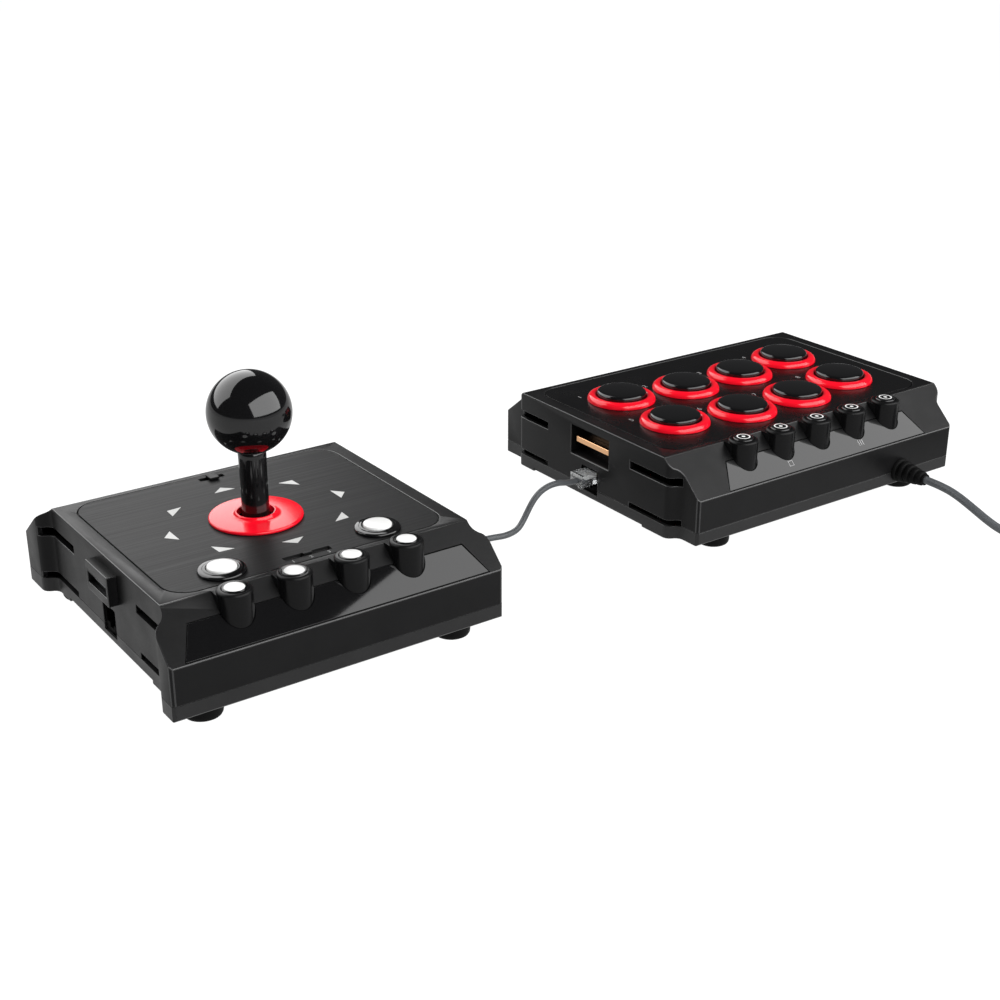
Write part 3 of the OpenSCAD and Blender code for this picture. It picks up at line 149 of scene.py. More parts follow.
looks = {
    "shell_black": surface("shell_black", (0.0045, 0.0045, 0.0047), 0.36, 0.15, grain=0.2, grain_scale=2600),
    "base_grey": surface("base_grey", (0.010, 0.010, 0.0103), 0.36, 0.32, grain=0.3, grain_scale=2600),
    "brushed_panel": surface(
        "brushed_panel", (0.010, 0.010, 0.0103), 0.46, 0.12, vary=0.35, vary_scale=1, rough_vary=0.09,
        grain=0.3, grain_scale=1.7, stretch=BRUSH_ALONG_X,
    ),
    "dark_panel": surface("dark_panel", (0.0035, 0.0035, 0.0037), 0.24, 0.14, grain=0.08, grain_scale=2400),
    "slope_gloss": surface(
        "slope_gloss", (0.0045, 0.0045, 0.0048), 0.03, 0.37, rough_vary=0.01, vary_scale=25,
    ),
    "red_gloss": surface(
        "red_gloss", (0.86, 0.004, 0.018), 0.16, 0.45, vary=0.04, rough_vary=0.03, vary_scale=40,
    ),
    "black_gloss": surface(
        "black_gloss", (0.0035, 0.0035, 0.0038), 0.06, 0.5, rough_vary=0.02, vary_scale=30,
    ),
    "white_cap": surface("white_cap", (0.83, 0.83, 0.82), 0.22, 0.5, vary=0.03, grain=0.05, grain_scale=900),
    "black_key": surface("black_key", (0.006, 0.006, 0.0064), 0.2, 0.5, rough_vary=0.04),
    "rubber_black": surface("rubber_black", (0.002, 0.002, 0.002), 0.55, 0.1, grain=0.5, grain_scale=1800),
    "cord_grey": surface(
        "cord_grey", (0.072, 0.077, 0.082), 0.42, 0.4, vary=0.1, grain=0.15, grain_scale=1500,
    ),
    "steel": surface(
        "steel", (0.55, 0.56, 0.57), 0.26, metallic=1, grain=0.2, grain_scale=1, stretch=BRUSH_ROUND_Z,
    ),
    "zinc": surface("zinc", (0.42, 0.43, 0.45), 0.42, metallic=1, grain=0.3, grain_scale=1600),
    "board_green": surface("board_green", (0.012, 0.10, 0.035), 0.35, vary=0.25, vary_scale=220, grain=0.3),
    "copper": surface(
        "copper", (0.86, 0.50, 0.27), 0.24, metallic=1, vary=0.1, vary_scale=1, rough_vary=0.08,
        grain=0.15, grain_scale=2, stretch=BRUSH_ALONG_Y,
    ),
    "clear": surface(
        "clear", (0.92, 0.94, 0.95), 0.03, 0.8, coat=1, vary=0.02, rough_vary=0.015,
        grain=0.08, grain_scale=500, clear=0.95, ior=1.49,
    ),
    "inner_white": surface("inner_white", (0.62, 0.62, 0.58), 0.4, grain=0.2),
    "inner_black": surface("inner_black", (0.0025, 0.0025, 0.0027), 0.45, 0.12, grain=0.25),
}
# The shells' bevel faces: glossier than the shell, and lighter in colour, which is a painted highlight along
# the edges.
edge_painted_highlight = surface(
    "shell_edge_painted_highlight", (0.022, 0.022, 0.0225), 0.26, 0.5, rough_vary=0.03, grain=0.1, grain_scale=2600,
)
post_look = surface(
    "post_gloss", (0.0035, 0.0035, 0.0037), 0.18, 0.15, rough_vary=0.03, grain=0.05, grain_scale=2000,
)
# The jacks' own black, darkened further and with almost no sheen as painted shade, so their holes read as
# black.
socket_black_and_painted_shade = surface("socket_black_painted_shade", (0.0008, 0.0008, 0.0008), 0.6, 0.03, grain=0.2, grain_scale=2200)
knob_look = surface("knob_black", (0.003, 0.003, 0.0032), 0.4, 0.14, grain=0.2, grain_scale=2200)
sleeve_look = surface(
    "sleeve_black", (0.004, 0.004, 0.0043), 0.1, 0.5, rough_vary=0.05, vary_scale=1, grain=0.12,
    grain_scale=0.8, stretch=STREAK_ALONG_Z,
)
print_grey = surface("print_grey", (0.56, 0.56, 0.55), 0.5, 0.3, vary=0.06, vary_scale=900)
print_white = surface("print_white", (0.80, 0.80, 0.79), 0.45, 0.3, vary=0.04, vary_scale=900)
print_dim = surface("print_dim", (0.34, 0.34, 0.34), 0.5, 0.3, vary=0.15, vary_scale=900)
gold_pin = surface("gold_pin", (0.80, 0.60, 0.24), 0.2, metallic=1, vary_scale=400)
strap_cloth = surface(
    "strap_cloth", (0.010, 0.010, 0.011), 0.85, 0.2, vary=0.3, vary_scale=1500, grain=0.8,
)


# Making pieces
# Edges that turn more than this are edges to soften
SHARP_EDGE = math.radians(32)


def place(obj, node=None, body=None, slot=None, look=None):
    """Puts a new piece on a body with a finish, and lets it stand for a CAD node."""
    if obj.name not in bpy.context.collection.objects:
        bpy.context.collection.objects.link(obj)
    body = body or body_of_node[node]
    slot = slot or slots[node]
    obj.data.materials.append(look or looks[slot])
    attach(obj, body)
    if node:
        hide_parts(node)
    return obj


def mesh_piece(name, bm, sharp=35):
    """A mesh object from a bmesh, smooth but for edges sharper than an angle in degrees."""
    mesh = bpy.data.meshes.new(name)
    bm.normal_update()
    bm.to_mesh(mesh)
    bm.free()
    mesh.shade_smooth()
    mesh.set_sharp_from_angle(angle=math.radians(sharp))
    return bpy.data.objects.new(name, mesh)


def lathe(bm, centre, profile, count=96):
    """Turns a profile of (radius, height) points about a vertical axis. A radius of 0 closes an end."""
    rings = []
    for radius, height in profile:
        if radius == 0:
            rings.append([bm.verts.new((centre[0], centre[1], height))])
            continue
        rings.append([
            bm.verts.new((
                centre[0] + radius * math.cos(TURN * i / count),
                centre[1] + radius * math.sin(TURN * i / count),
                height,
            ))
            for i in range(count)
        ])
    for low, high in zip(rings, rings[1:]):
        for i in range(count):
            j = (i + 1) % count
            if len(low) == 1:
                bm.faces.new((low[0], high[j], high[i]))
            elif len(high) == 1:
                bm.faces.new((low[i], low[j], high[0]))
            else:
                bm.faces.new((low[i], low[j], high[j], high[i]))


def arc(cx, cz, radius, start, end, steps):
    """Points of an arc in a profile, by angles in degrees from the outward direction."""
    angles = [math.radians(start + (end - start) * i / steps) for i in range(steps + 1)]
    return [(cx + radius * math.cos(a), cz + radius * math.sin(a)) for a in angles]


def cad_mesh(node):
    """The node's own faces, joined where they meet and with flat areas as single faces."""
    bm = bmesh.new()
    bm.from_mesh(frame["nodes"][node].data)
    bmesh.ops.remove_doubles(bm, verts=bm.verts, dist=0.002 * MM)
    bmesh.ops.dissolve_limit(bm, angle_limit=math.radians(0.6), verts=bm.verts, edges=bm.edges)
    return bm


def soften(obj, width, segments=2, chosen=False):
    """Rounds the piece's edges, or only its chosen ones, which have a bevel weight."""
    bevel = obj.modifiers.new("edges", "BEVEL")
    bevel.use_clamp_overlap = not chosen
    bevel.width = width
    bevel.segments = segments
    bevel.limit_method = "WEIGHT" if chosen else "ANGLE"
    bevel.angle_limit = SHARP_EDGE
    bevel.harden_normals = True
    return obj


def refined(node, width, segments=2, look=None, prepare=None, edges=None, extra=(), chosen=False):
    """A CAD node's shape as a new piece with rounded edges, which can have a finish of their own."""
    bm = cad_mesh(node)
    if prepare:
        prepare(bm)
    piece = mesh_piece(node + "_form", bm)
    soften(piece, width, segments, chosen=chosen)
    place(piece, node, look=look)
    for finish in (*extra, *([edges] if edges else [])):
        piece.data.materials.append(finish)
    if edges:
        piece.modifiers["edges"].material = len(piece.data.materials) - 1
    return piece


def middle(node):
    """The centre of a CAD node's box."""
    low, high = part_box(node)
    return [(a + b) / 2 for a, b in zip(low, high)]


# Cords, along the routes of the part's source
LINK_D = 3 * MM
USB_D = 4 * MM
ROUTE_STEPS = 4
LINK_ROUTE = [
    (-0.0691, -0.00535, 0.0199), (-0.0661, -0.00535, 0.0199),
    (-0.0600, -0.0053, 0.0190), (-0.0550, -0.0051, 0.0170), (-0.0500, -0.0046, 0.0136),
    (-0.0454, -0.0038, 0.0098), (-0.0410, -0.0026, 0.0062), (-0.0364, -0.0008, 0.0034),
    (-0.0314, 0.0012, 0.0019), (-0.0260, 0.0022, 0.0016), (-0.0206, 0.0014, 0.0016),
    (-0.0154, 0.0003, 0.0016), (-0.0104, 0.0006, 0.0018), (-0.0062, 0.0014, 0.0028),
    (-0.0030, 0.0020, 0.0056), (-0.0006, 0.0022, 0.0090), (0.0016, 0.0021, 0.0126),
    (0.0042, 0.0019, 0.0160), (0.0078, 0.0016, 0.0189), (0.0124, 0.0012, 0.0206),
    (0.0174, 0.0008, 0.0209), (0.0218, 0.0005, 0.0202),
    (0.0247, 0.00035, 0.0199), (0.0277, 0.00035, 0.0199),
]
BOOT_ROOT = (0.1774, -0.07265, 0.0150)
COIL_X, COIL_Y = 0.2620, -0.1440
COIL_R = 24 * MM
COIL_TURNS = 10.25
COIL_RINGS = 36
COIL_LAYERS = 4
COIL_STEP = USB_D + 0.6 * MM
COIL_Z = USB_D / 2
LAYER_TURNS = COIL_TURNS / COIL_LAYERS
COIL_OUT = COIL_R + COIL_STEP * LAYER_TURNS / 2
COIL_IN = COIL_R - COIL_STEP * LAYER_TURNS / 2
COIL_TOP = COIL_Z + COIL_STEP * (COIL_LAYERS - 1)
TAIL_X = 0.2920
USB_ROUTE = [
    (0.1774, -0.08965, 0.0150), (0.1774, -0.09365, 0.0150),
    (0.1774, -0.0980, 0.0149), (0.1774, -0.1040, 0.0144), (0.1774, -0.1100, 0.0132),
    (0.1774, -0.1160, 0.0114), (0.1776, -0.1220, 0.0092), (0.1780, -0.1280, 0.0069),
    (0.1789, -0.1344, 0.0047), (0.1809, -0.1410, 0.0031), (0.1840, -0.1476, 0.0023),
    (0.1884, -0.1540, 0.0020), (0.1940, -0.1598, 0.0020), (0.2006, -0.1648, 0.0020),
    (0.2084, -0.1690, 0.0020), (0.2170, -0.1721, 0.0020), (0.2260, -0.1736, 0.0020),
    (0.2350, -0.1739, 0.0020), (0.2444, -0.1739, 0.0020),
    (COIL_X - 2 * USB_D, COIL_Y - COIL_OUT, COIL_Z), (COIL_X - USB_D, COIL_Y - COIL_OUT, COIL_Z),
]
TAIL_ROUTE = [
    (COIL_X + COIL_OUT, COIL_Y + USB_D, COIL_TOP), (COIL_X + COIL_OUT, COIL_Y + 2 * USB_D, COIL_TOP),
    (TAIL_X, -0.1320, 0.0153), (TAIL_X, -0.1270, 0.0138), (TAIL_X, -0.1220, 0.0114),
    (TAIL_X, -0.1170, 0.0086), (TAIL_X, -0.1120, 0.0062), (TAIL_X, -0.1070, 0.0047),
    (TAIL_X, -0.1020, 0.0041), (TAIL_X, -0.0980, 0.0040), (TAIL_X, -0.0940, 0.0040),
]


def smooth_route(route):
    """Points of a smooth curve through a route."""
    points = [Vector(p) for p in route]
    last = len(points) - 1
    curve = []
    for i in range(last):
        a, b, c, d = (points[max(i - 1, 0)], points[i], points[i + 1], points[min(i + 2, last)])
        for k in range(ROUTE_STEPS):
            f = k / ROUTE_STEPS
            curve.append(0.5 * (
                2 * b + (c - a) * f + (2 * a - 5 * b + 4 * c - d) * f * f
                + (3 * b - a - 3 * c + d) * f * f * f
            ))
    return curve + [points[last]]


def climb(turns):
    """Share of a step up, over the half turn round a reversal."""
    return (1 + math.sin(max(-0.25, min(0.25, turns)) * TURN)) / 2


def coil_point(turns):
    """A point of the coil, after some turns from its start: each layer winds in or out, then steps up."""
    layer = min(int(turns / LAYER_TURNS), COIL_LAYERS - 1)
    share = turns / LAYER_TURNS - layer
    start, end = (COIL_OUT, COIL_IN) if layer % 2 == 0 else (COIL_IN, COIL_OUT)
    radius = start + (end - start) * share
    height = COIL_Z + COIL_STEP * sum(climb(turns - k * LAYER_TURNS) for k in range(1, COIL_LAYERS))
    return Vector((
        COIL_X + radius * math.sin(turns * TURN), COIL_Y - radius * math.cos(turns * TURN), height,
    ))


def cord_curve(name, points, diameter):
    """A round cord as one open spline."""
    curve = bpy.data.curves.new(name, "CURVE")
    curve.dimensions = "3D"
    curve.bevel_depth = diameter / 2
    curve.bevel_resolution = 5
    curve.use_fill_caps = True
    spline = curve.splines.new("POLY")
    spline.points.add(len(points) - 1)
    for target, point in zip(spline.points, points):
        target.co = (*point, 1)
    spline.use_smooth = True
    obj = bpy.data.objects.new(name, curve)
    bpy.context.collection.objects.link(obj)
    return obj


link_points = smooth_route(LINK_ROUTE)
link = place(cord_curve("link_cord_form", link_points, LINK_D), "link_cord")

coil_count = round(COIL_TURNS * COIL_RINGS)
coil_points = [coil_point(COIL_TURNS * i / coil_count) for i in range(coil_count + 1)]
usb_points = [Vector(BOOT_ROOT)] + smooth_route(USB_ROUTE) + coil_points + smooth_route(TAIL_ROUTE)
usb = place(cord_curve("usb_lead", usb_points, USB_D), "usb_cord")
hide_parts("usb_coil", "usb_tail")


# Boot and plug of the USB lead
def boot_piece():
    """Tapered strain relief, with ribs between round grooves."""
    length, ribs = 17 * MM, 5
    wide, narrow, groove = 6.2 * MM, 3.2 * MM, 0.9 * MM
    profile = [(3.5 * MM, -2.4 * MM), (3.5 * MM, 0.05 * MM)]
    for i in range(ribs):
        for share, cut in ((0.0, 0.35), (0.07, 0), (0.5, 0), (0.57, 0.35), (0.6, 1), (0.94, 1), (0.98, 0.35)):
            f = (i + share) / ribs
            profile.append((wide + (narrow - wide) * f - groove * cut, length * f))
    profile += [(narrow - 0.5 * MM, length), (USB_D / 2 - 0.02 * MM, length)]
    bm = bmesh.new()
    lathe(bm, (0, 0), profile, 64)
    bmesh.ops.transform(
        bm, verts=bm.verts, matrix=Matrix.Translation(BOOT_ROOT) @ Matrix.Rotation(math.radians(90), 4, "X"),
    )
    return place(mesh_piece("usb_boot_form", bm, 50), "usb_boot")


def box_mesh(bm, low, high):
    """A block between two corners."""
    made = bmesh.ops.create_cube(bm, size=1)
    for v in made["verts"]:
        v.co = Vector([l + (c + 0.5) * (h - l) for c, l, h in zip(v.co, low, high)])


def usb_plug_piece():
    """Moulded grip with finger ridges, and the plug's metal shell with its tongue and its pins."""
    low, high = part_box("usb_plug")
    mid_x, mid_z = (low[0] + high[0]) / 2, (low[2] + high[2]) / 2
    grip_l, shell_half_w, shell_half_t, plate = 24 * MM, 6 * MM, 2.25 * MM, 0.4 * MM
    ridge, ridge_half_h, pin_half_w = 1.0 * MM, 2.6 * MM, 0.5 * MM
    bm = bmesh.new()
    box_mesh(bm, low, (high[0], low[1] + grip_l, high[2]))
    bmesh.ops.bevel(
        bm, geom=bm.edges[:], offset=2.2 * MM, segments=4, profile=0.6, affect="EDGES", clamp_overlap=True,
    )
    for i in range(5):
        y = low[1] + (4 + 2.2 * i) * MM
        for side, edge in ((-1, low[0]), (1, high[0])):
            x0, x1 = sorted((edge - side * ridge, edge))
            box_mesh(bm, (x0, y, mid_z - ridge_half_h), (x1, y + ridge, mid_z + ridge_half_h))
    grip = place(mesh_piece("usb_plug_grip", bm), "usb_plug", look=looks["rubber_black"])
    bm = bmesh.new()
    y0, y1 = low[1] + grip_l - 0.5 * MM, high[1]
    x0, x1, z0, z1 = mid_x - shell_half_w, mid_x + shell_half_w, mid_z - shell_half_t, mid_z + shell_half_t
    for wall_low, wall_high in (
        ((x0, y0, z0), (x1, y1, z0 + plate)),
        ((x0, y0, z1 - plate), (x1, y1, z1)),
        ((x0, y0, z0 + plate), (x0 + plate, y1, z1 - plate)),
        ((x1 - plate, y0, z0 + plate), (x1, y1, z1 - plate)),
    ):
        box_mesh(bm, wall_low, wall_high)
    shell = place(soften(mesh_piece("usb_plug_shell", bm), 0.12 * MM), body="root", slot="steel")
    bm = bmesh.new()
    box_mesh(bm, (x0 + plate, y0, z0 + plate), (x1 - plate, y1 - 0.6 * MM, mid_z - 0.1 * MM))
    tongue = place(soften(mesh_piece("usb_plug_tongue", bm), 0.15 * MM), body="root", slot="inner_white")
    bm = bmesh.new()
    for i in range(4):
        x = mid_x + (i - 1.5) * 2.4 * MM
        box_mesh(
            bm, (x - pin_half_w, y0 + 2 * MM, mid_z - 0.15 * MM),
            (x + pin_half_w, y1 - 1.2 * MM, mid_z + 0.03 * MM),
        )
    pins = place(
        soften(mesh_piece("usb_plug_pins", bm), 0.05 * MM), body="root", slot="copper", look=gold_pin,
    )
    return [grip, shell, tongue, pins]


boot = boot_piece()
usb_plug = usb_plug_piece()


def coil_tie():
    """A cloth strap round the coil's turns, on its left side."""
    bm = bmesh.new()
    clearance, lift, half_w, thick = 3.2 * MM, 0.2 * MM, 5 * MM, 1.0 * MM
    count, roundness = 40, 0.55
    inner, outer, top = COIL_IN - clearance, COIL_OUT + clearance, COIL_TOP + clearance
    reach, rise = (outer - inner) / 2, top / 2
    middle_r = (outer + inner) / 2
    rings = []
    for i in range(count):
        a = TURN * i / count
        sx = math.copysign(abs(math.cos(a)) ** roundness, math.cos(a))
        sz = math.copysign(abs(math.sin(a)) ** roundness, math.sin(a))
        ring = []
        for offset, side in ((0, -1), (0, 1), (-thick, 1), (-thick, -1)):
            x = COIL_X - middle_r + sx * (reach + offset)
            z = rise + lift + sz * (rise + offset - lift)
            ring.append(bm.verts.new((x, COIL_Y + side * half_w, z)))
        rings.append(ring)
    for i in range(count):
        a, b = rings[i], rings[(i + 1) % count]
        for k in range(4):
            m = (k + 1) % 4
            bm.faces.new((a[k], a[m], b[m], b[k]))
    bmesh.ops.recalc_face_normals(bm, faces=bm.faces)
    return place(mesh_piece("coil_tie", bm, 50), body="root", slot="rubber_black", look=strap_cloth)


coil_tie()


# Cases
POST_R = 7.1 * MM
POST_TOP = CASE_TOP + 1.75 * MM
POST_FINISH = 1
SHELL_ROUND = 0.35 * MM
PANEL_ROUND = 0.15 * MM
PLATE_ROUND = 0.2 * MM


def choose_edges(bm, plate):
    """Full bevels for a shell's outward edges, slight ones for inward ones, and hard edges by its plate."""
    low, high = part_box(plate)
    margin, slight = 3 * MM, 0.02

    def clear_of_plate(v):
        """Whether a point is away from the slope plate and the posts that stand behind it."""
        return not (
            low[0] - margin < v.co.x < high[0] + margin and low[1] + 0.2 * MM < v.co.y < high[1] + 2 * margin
            and v.co.z > low[2] - 0.5 * MM
        )

    hard = []
    weight = bm.edges.layers.float.new("bevel_weight_edge")
    for edge in bm.edges:
        if len(edge.link_faces) == 2 and edge.calc_face_angle() > SHARP_EDGE:
            if all(clear_of_plate(v) for v in edge.verts):
                edge[weight] = 1 if edge.is_convex else slight
            else:
                hard.append(edge)
    bmesh.ops.split_edges(bm, edges=hard)


def round_posts(places, plate):
    """Rounds the key posts' top rims before the general softening, and gives the posts their own finish."""
    def past_wall(v, x, y):
        """How far a point is outside a post's round wall."""
        return math.hypot(v.co.x - x, v.co.y - y) - POST_R

    def prepare(bm):
        for face in bm.faces:
            if any(all(past_wall(v, x, y) < 0.1 * MM for v in face.verts) for x, y in places):
                face.material_index = POST_FINISH
        rims = [
            edge for edge in bm.edges
            if all(abs(v.co.z - POST_TOP) < 0.02 * MM for v in edge.verts)
            and any(all(abs(past_wall(v, x, y)) < 0.1 * MM for v in edge.verts) for x, y in places)
        ]
        bmesh.ops.bevel(
            bm, geom=rims, offset=1.1 * MM, segments=4, profile=0.5, affect="EDGES", clamp_overlap=True,
        )
        bm.normal_update()
        choose_edges(bm, plate)
    return prepare


stick_keys = [f"stick_key_{i}" for i in range(1, 5)]
button_keys = [f"button_key_{i}" for i in range(1, 6)]
action_buttons = [f"action_button_{i}" for i in range(1, 9)]
round_buttons = ("round_button_left", "round_button_right")
for case, keys in (("stick", stick_keys), ("button", button_keys)):
    prepare = round_posts([middle(n)[:2] for n in keys], f"{case}_slope_plate")
    # The shells' bevels wear the edge look, whose lighter colour is a painted highlight.
    refined(
        f"{case}_top_shell", SHELL_ROUND, prepare=prepare, edges=edge_painted_highlight, extra=[post_look], chosen=True,
    )
for part, width in (("base_shell", SHELL_ROUND), ("top_panel", PANEL_ROUND), ("slope_plate", PLATE_ROUND)):
    for case in ("stick", "button"):
        refined(f"{case}_{part}", width)
refined("contact_bars", 0.35 * MM, 3)
# The jacks wear the darkened black, a painted shade for their holes.
refined("link_jacks", 0.25 * MM, look=socket_black_and_painted_shade)
refined("mode_slider", 0.25 * MM, look=knob_look)
refined("rear_slider", 0.3 * MM, look=knob_look)


# Keys and buttons
def cap_profile(r, bottom, top, round_r, drop, arc_ends, crown):
    """Half section of a cap: a small bevel below, a rounded rim, and a crown of (share of radius, drop)."""
    bevel = 0.4 * MM
    profile = [(0, bottom), (r - bevel, bottom), (r, bottom + bevel), (r, top - round_r - drop)]
    profile += arc(r - round_r, top - round_r - drop, round_r, *arc_ends, 5)
    return profile + [(r * share, top - fall) for share, fall in crown] + [(0, top)]


def key_piece(node, rim=0.0):
    """A key with a rounded crown, with a black collar round a narrower crown where a rim is given."""
    x, y, _ = middle(node)
    low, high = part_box(node)
    r, top, bottom = (high[0] - low[0]) / 2 - rim, high[2], low[2]
    if rim:
        collar_top, inner_r, outer_r, bevel = top - 0.55 * MM, r + 0.03 * MM, r + rim, 0.25 * MM
        bm = bmesh.new()
        lathe(bm, (x, y), [
            (inner_r, bottom), (outer_r, bottom), (outer_r, collar_top - bevel),
            (outer_r - bevel, collar_top), (r + 0.12 * MM, collar_top), (inner_r, collar_top - 0.1 * MM),
            (inner_r, bottom),
        ], 72)
        place(mesh_piece(node + "_collar", bm, 40), body=node, slot="black_gloss")
    crown = ((0.6, 0.08 * MM), (0.3, 0))
    bm = bmesh.new()
    lathe(bm, (x, y), cap_profile(r, bottom, top, 0.7 * MM, 0.25 * MM, (12, 78), crown), 72)
    return place(mesh_piece(node + "_form", bm, 40), node)


def action_piece(node):
    """A button cap with a rounded rim, a shallow crown and its stem."""
    x, y, _ = middle(node)
    low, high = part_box(node)
    r, top, bottom = (high[0] - low[0]) / 2, high[2], low[2]
    skirt, stem_r, bevel = top - 14.2 * MM, 2.6 * MM, 0.4 * MM
    round_r, drop = 1.3 * MM, 0.45 * MM
    profile = [
        (0, bottom), (stem_r - bevel, bottom), (stem_r, bottom + bevel), (stem_r, skirt), (r, skirt),
    ]
    profile += arc(r - round_r, top - round_r - drop, round_r, 0, 82, 8)
    profile += [(r * 0.75, top - 0.26 * MM), (r * 0.5, top - 0.1 * MM), (r * 0.25, top - 0.02 * MM), (0, top)]
    bm = bmesh.new()
    lathe(bm, (x, y), profile, 128)
    return place(mesh_piece(node + "_form", bm, 40), node)


def housing_pieces():
    """The red housings, each with a full round flange and a bevelled mouth."""
    _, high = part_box("action_housings")
    top, flange_r, barrel_r, mouth_r = high[2], 17.2 * MM, 14.4 * MM, 12.75 * MM
    floor_z, floor_t, hole_r = CASE_TOP - 21.6 * MM, 2 * MM, 3.2 * MM
    foot, round_r = 0.35 * MM, 2.3 * MM
    bm = bmesh.new()
    profile = [
        (hole_r, floor_z), (barrel_r - 0.5 * MM, floor_z), (barrel_r, floor_z + 0.5 * MM),
        (barrel_r, CASE_TOP), (flange_r - 0.2 * MM, CASE_TOP), (flange_r, CASE_TOP + 0.2 * MM),
        (flange_r, CASE_TOP + foot),
    ]
    profile += [
        (flange_r - round_r * (1 - math.cos(a)), CASE_TOP + foot + (top - CASE_TOP - foot) * math.sin(a))
        for a in (math.radians(10 * i) for i in range(1, 10))
    ]
    profile += [
        (mouth_r + 0.9 * MM, top - 0.03 * MM), (mouth_r + 0.5 * MM, top - 0.16 * MM),
        (mouth_r + 0.15 * MM, top - 0.5 * MM), (mouth_r, top - 0.95 * MM), (mouth_r, floor_z + floor_t),
        (hole_r, floor_z + floor_t), (hole_r, floor_z),
    ]
    for node in action_buttons:
        lathe(bm, middle(node)[:2], profile, 128)
    return place(mesh_piece("action_housings_form", bm, 40), "action_housings")


def bezel_pieces():
    """Black bezels round the two round buttons, with a stepped rim."""
    low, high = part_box("round_button_bezels")
    top, outer_r, barrel_r, mouth_r = high[2], 9.7 * MM, 8 * MM, 6.25 * MM
    foot, round_r = 0.55 * MM, 0.9 * MM
    profile = [
        (mouth_r, low[2]), (barrel_r, low[2]), (barrel_r, CASE_TOP), (outer_r - 0.15 * MM, CASE_TOP),
        (outer_r, CASE_TOP + 0.15 * MM), (outer_r, CASE_TOP + foot),
    ]
    profile += arc(outer_r - round_r, CASE_TOP + foot, round_r, 15, 80, 5)
    profile += [
        (mouth_r + 1.5 * MM, top - 0.30 * MM), (mouth_r + 1.25 * MM, top - 0.06 * MM),
        (mouth_r + 1.0 * MM, top), (mouth_r + 0.25 * MM, top), (mouth_r, top - 0.25 * MM), (mouth_r, low[2]),
    ]
    bm = bmesh.new()
    for node in round_buttons:
        lathe(bm, middle(node)[:2], profile, 96)
    return place(mesh_piece("round_button_bezels_form", bm, 35), "round_button_bezels")


def round_piece(node):
    """A round button's white cap."""
    x, y, _ = middle(node)
    low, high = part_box(node)
    crown = ((0.62, 0.06 * MM), (0.3, 0))
    profile = cap_profile((high[0] - low[0]) / 2, low[2], high[2], 0.8 * MM, 0.2 * MM, (10, 76), crown)
    bm = bmesh.new()
    lathe(bm, (x, y), profile, 96)
    return place(mesh_piece(node + "_form", bm, 40), node)


for node in stick_keys:
    key_piece(node, 0.75 * MM)
for node in button_keys:
    key_piece(node)
for node in action_buttons:
    action_piece(node)
for node in round_buttons:
    round_piece(node)
housing_pieces()
bezel_pieces()


# Lever
SHAFT_BORE = 4.05 * MM


def ball_piece():
    """The ball top: a ball with a flat and a bore below."""
    x, y, _ = middle("shaft_sleeve")
    low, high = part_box("ball_top")
    r = (high[0] - low[0]) / 2
    centre_z = high[2] - r
    start = math.degrees(math.asin((low[2] - centre_z) / r))
    flat_r = r * math.cos(math.radians(start)) - 0.35 * MM
    profile = [(SHAFT_BORE, centre_z), (SHAFT_BORE, low[2]), (flat_r, low[2])]
    profile += arc(0, centre_z, r, start + 1, 89, 72) + [(0, high[2])]
    bm = bmesh.new()
    lathe(bm, (x, y), profile, 160)
    return place(mesh_piece("ball_top_form", bm, 60), "ball_top")


def sleeve_piece():
    """The shaft sleeve, with a slight waist and rounded ends."""
    x, y, _ = middle("shaft_sleeve")
    low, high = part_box("shaft_sleeve")
    r, bevel, waist, count = (high[0] - low[0]) / 2, 0.3 * MM, 0.18 * MM, 12
    profile = [(SHAFT_BORE, low[2]), (r - bevel, low[2]), (r, low[2] + bevel)]
    for i in range(1, count):
        f = i / count
        profile.append((r - waist * math.sin(f * math.pi), low[2] + (high[2] - low[2]) * f))
    profile += [
        (r, high[2] - bevel), (r - 0.2 * MM, high[2]), (SHAFT_BORE, high[2]), (SHAFT_BORE, low[2]),
    ]
    bm = bmesh.new()
    lathe(bm, (x, y), profile, 96)
    return place(mesh_piece("shaft_sleeve_form", bm, 40), "shaft_sleeve", look=sleeve_look)


def washer_piece():
    """The dust washer: a round-edged disc with a soft collar."""
    x, y, _ = middle("dust_washer")
    low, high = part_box("dust_washer")
    r, base, top = (high[0] - low[0]) / 2, low[2], high[2]
    disc, hole, round_r = base + 1.5 * MM, 7.72 * MM, 0.8 * MM
    profile = [(hole, base), (r - 0.5 * MM, base), (r - 0.12 * MM, base + 0.15 * MM), (r, base + 0.5 * MM)]
    profile += arc(r - round_r, disc - round_r, round_r, 0, 85, 6)
    profile += [
        (hole + 3.0 * MM, disc), (hole + 2.0 * MM, disc + 0.05 * MM), (hole + 1.35 * MM, disc + 0.3 * MM),
        (hole + 1.05 * MM, disc + 0.7 * MM), (hole + 0.95 * MM, top - 0.25 * MM),
        (hole + 0.7 * MM, top - 0.04 * MM), (hole + 0.45 * MM, top), (hole + 0.1 * MM, top - 0.1 * MM),
        (hole, top - 0.4 * MM), (hole, base),
    ]
    bm = bmesh.new()
    lathe(bm, (x, y), profile, 128)
    return place(mesh_piece("dust_washer_form", bm, 50), "dust_washer")


ball_piece()
sleeve_piece()
washer_piece()


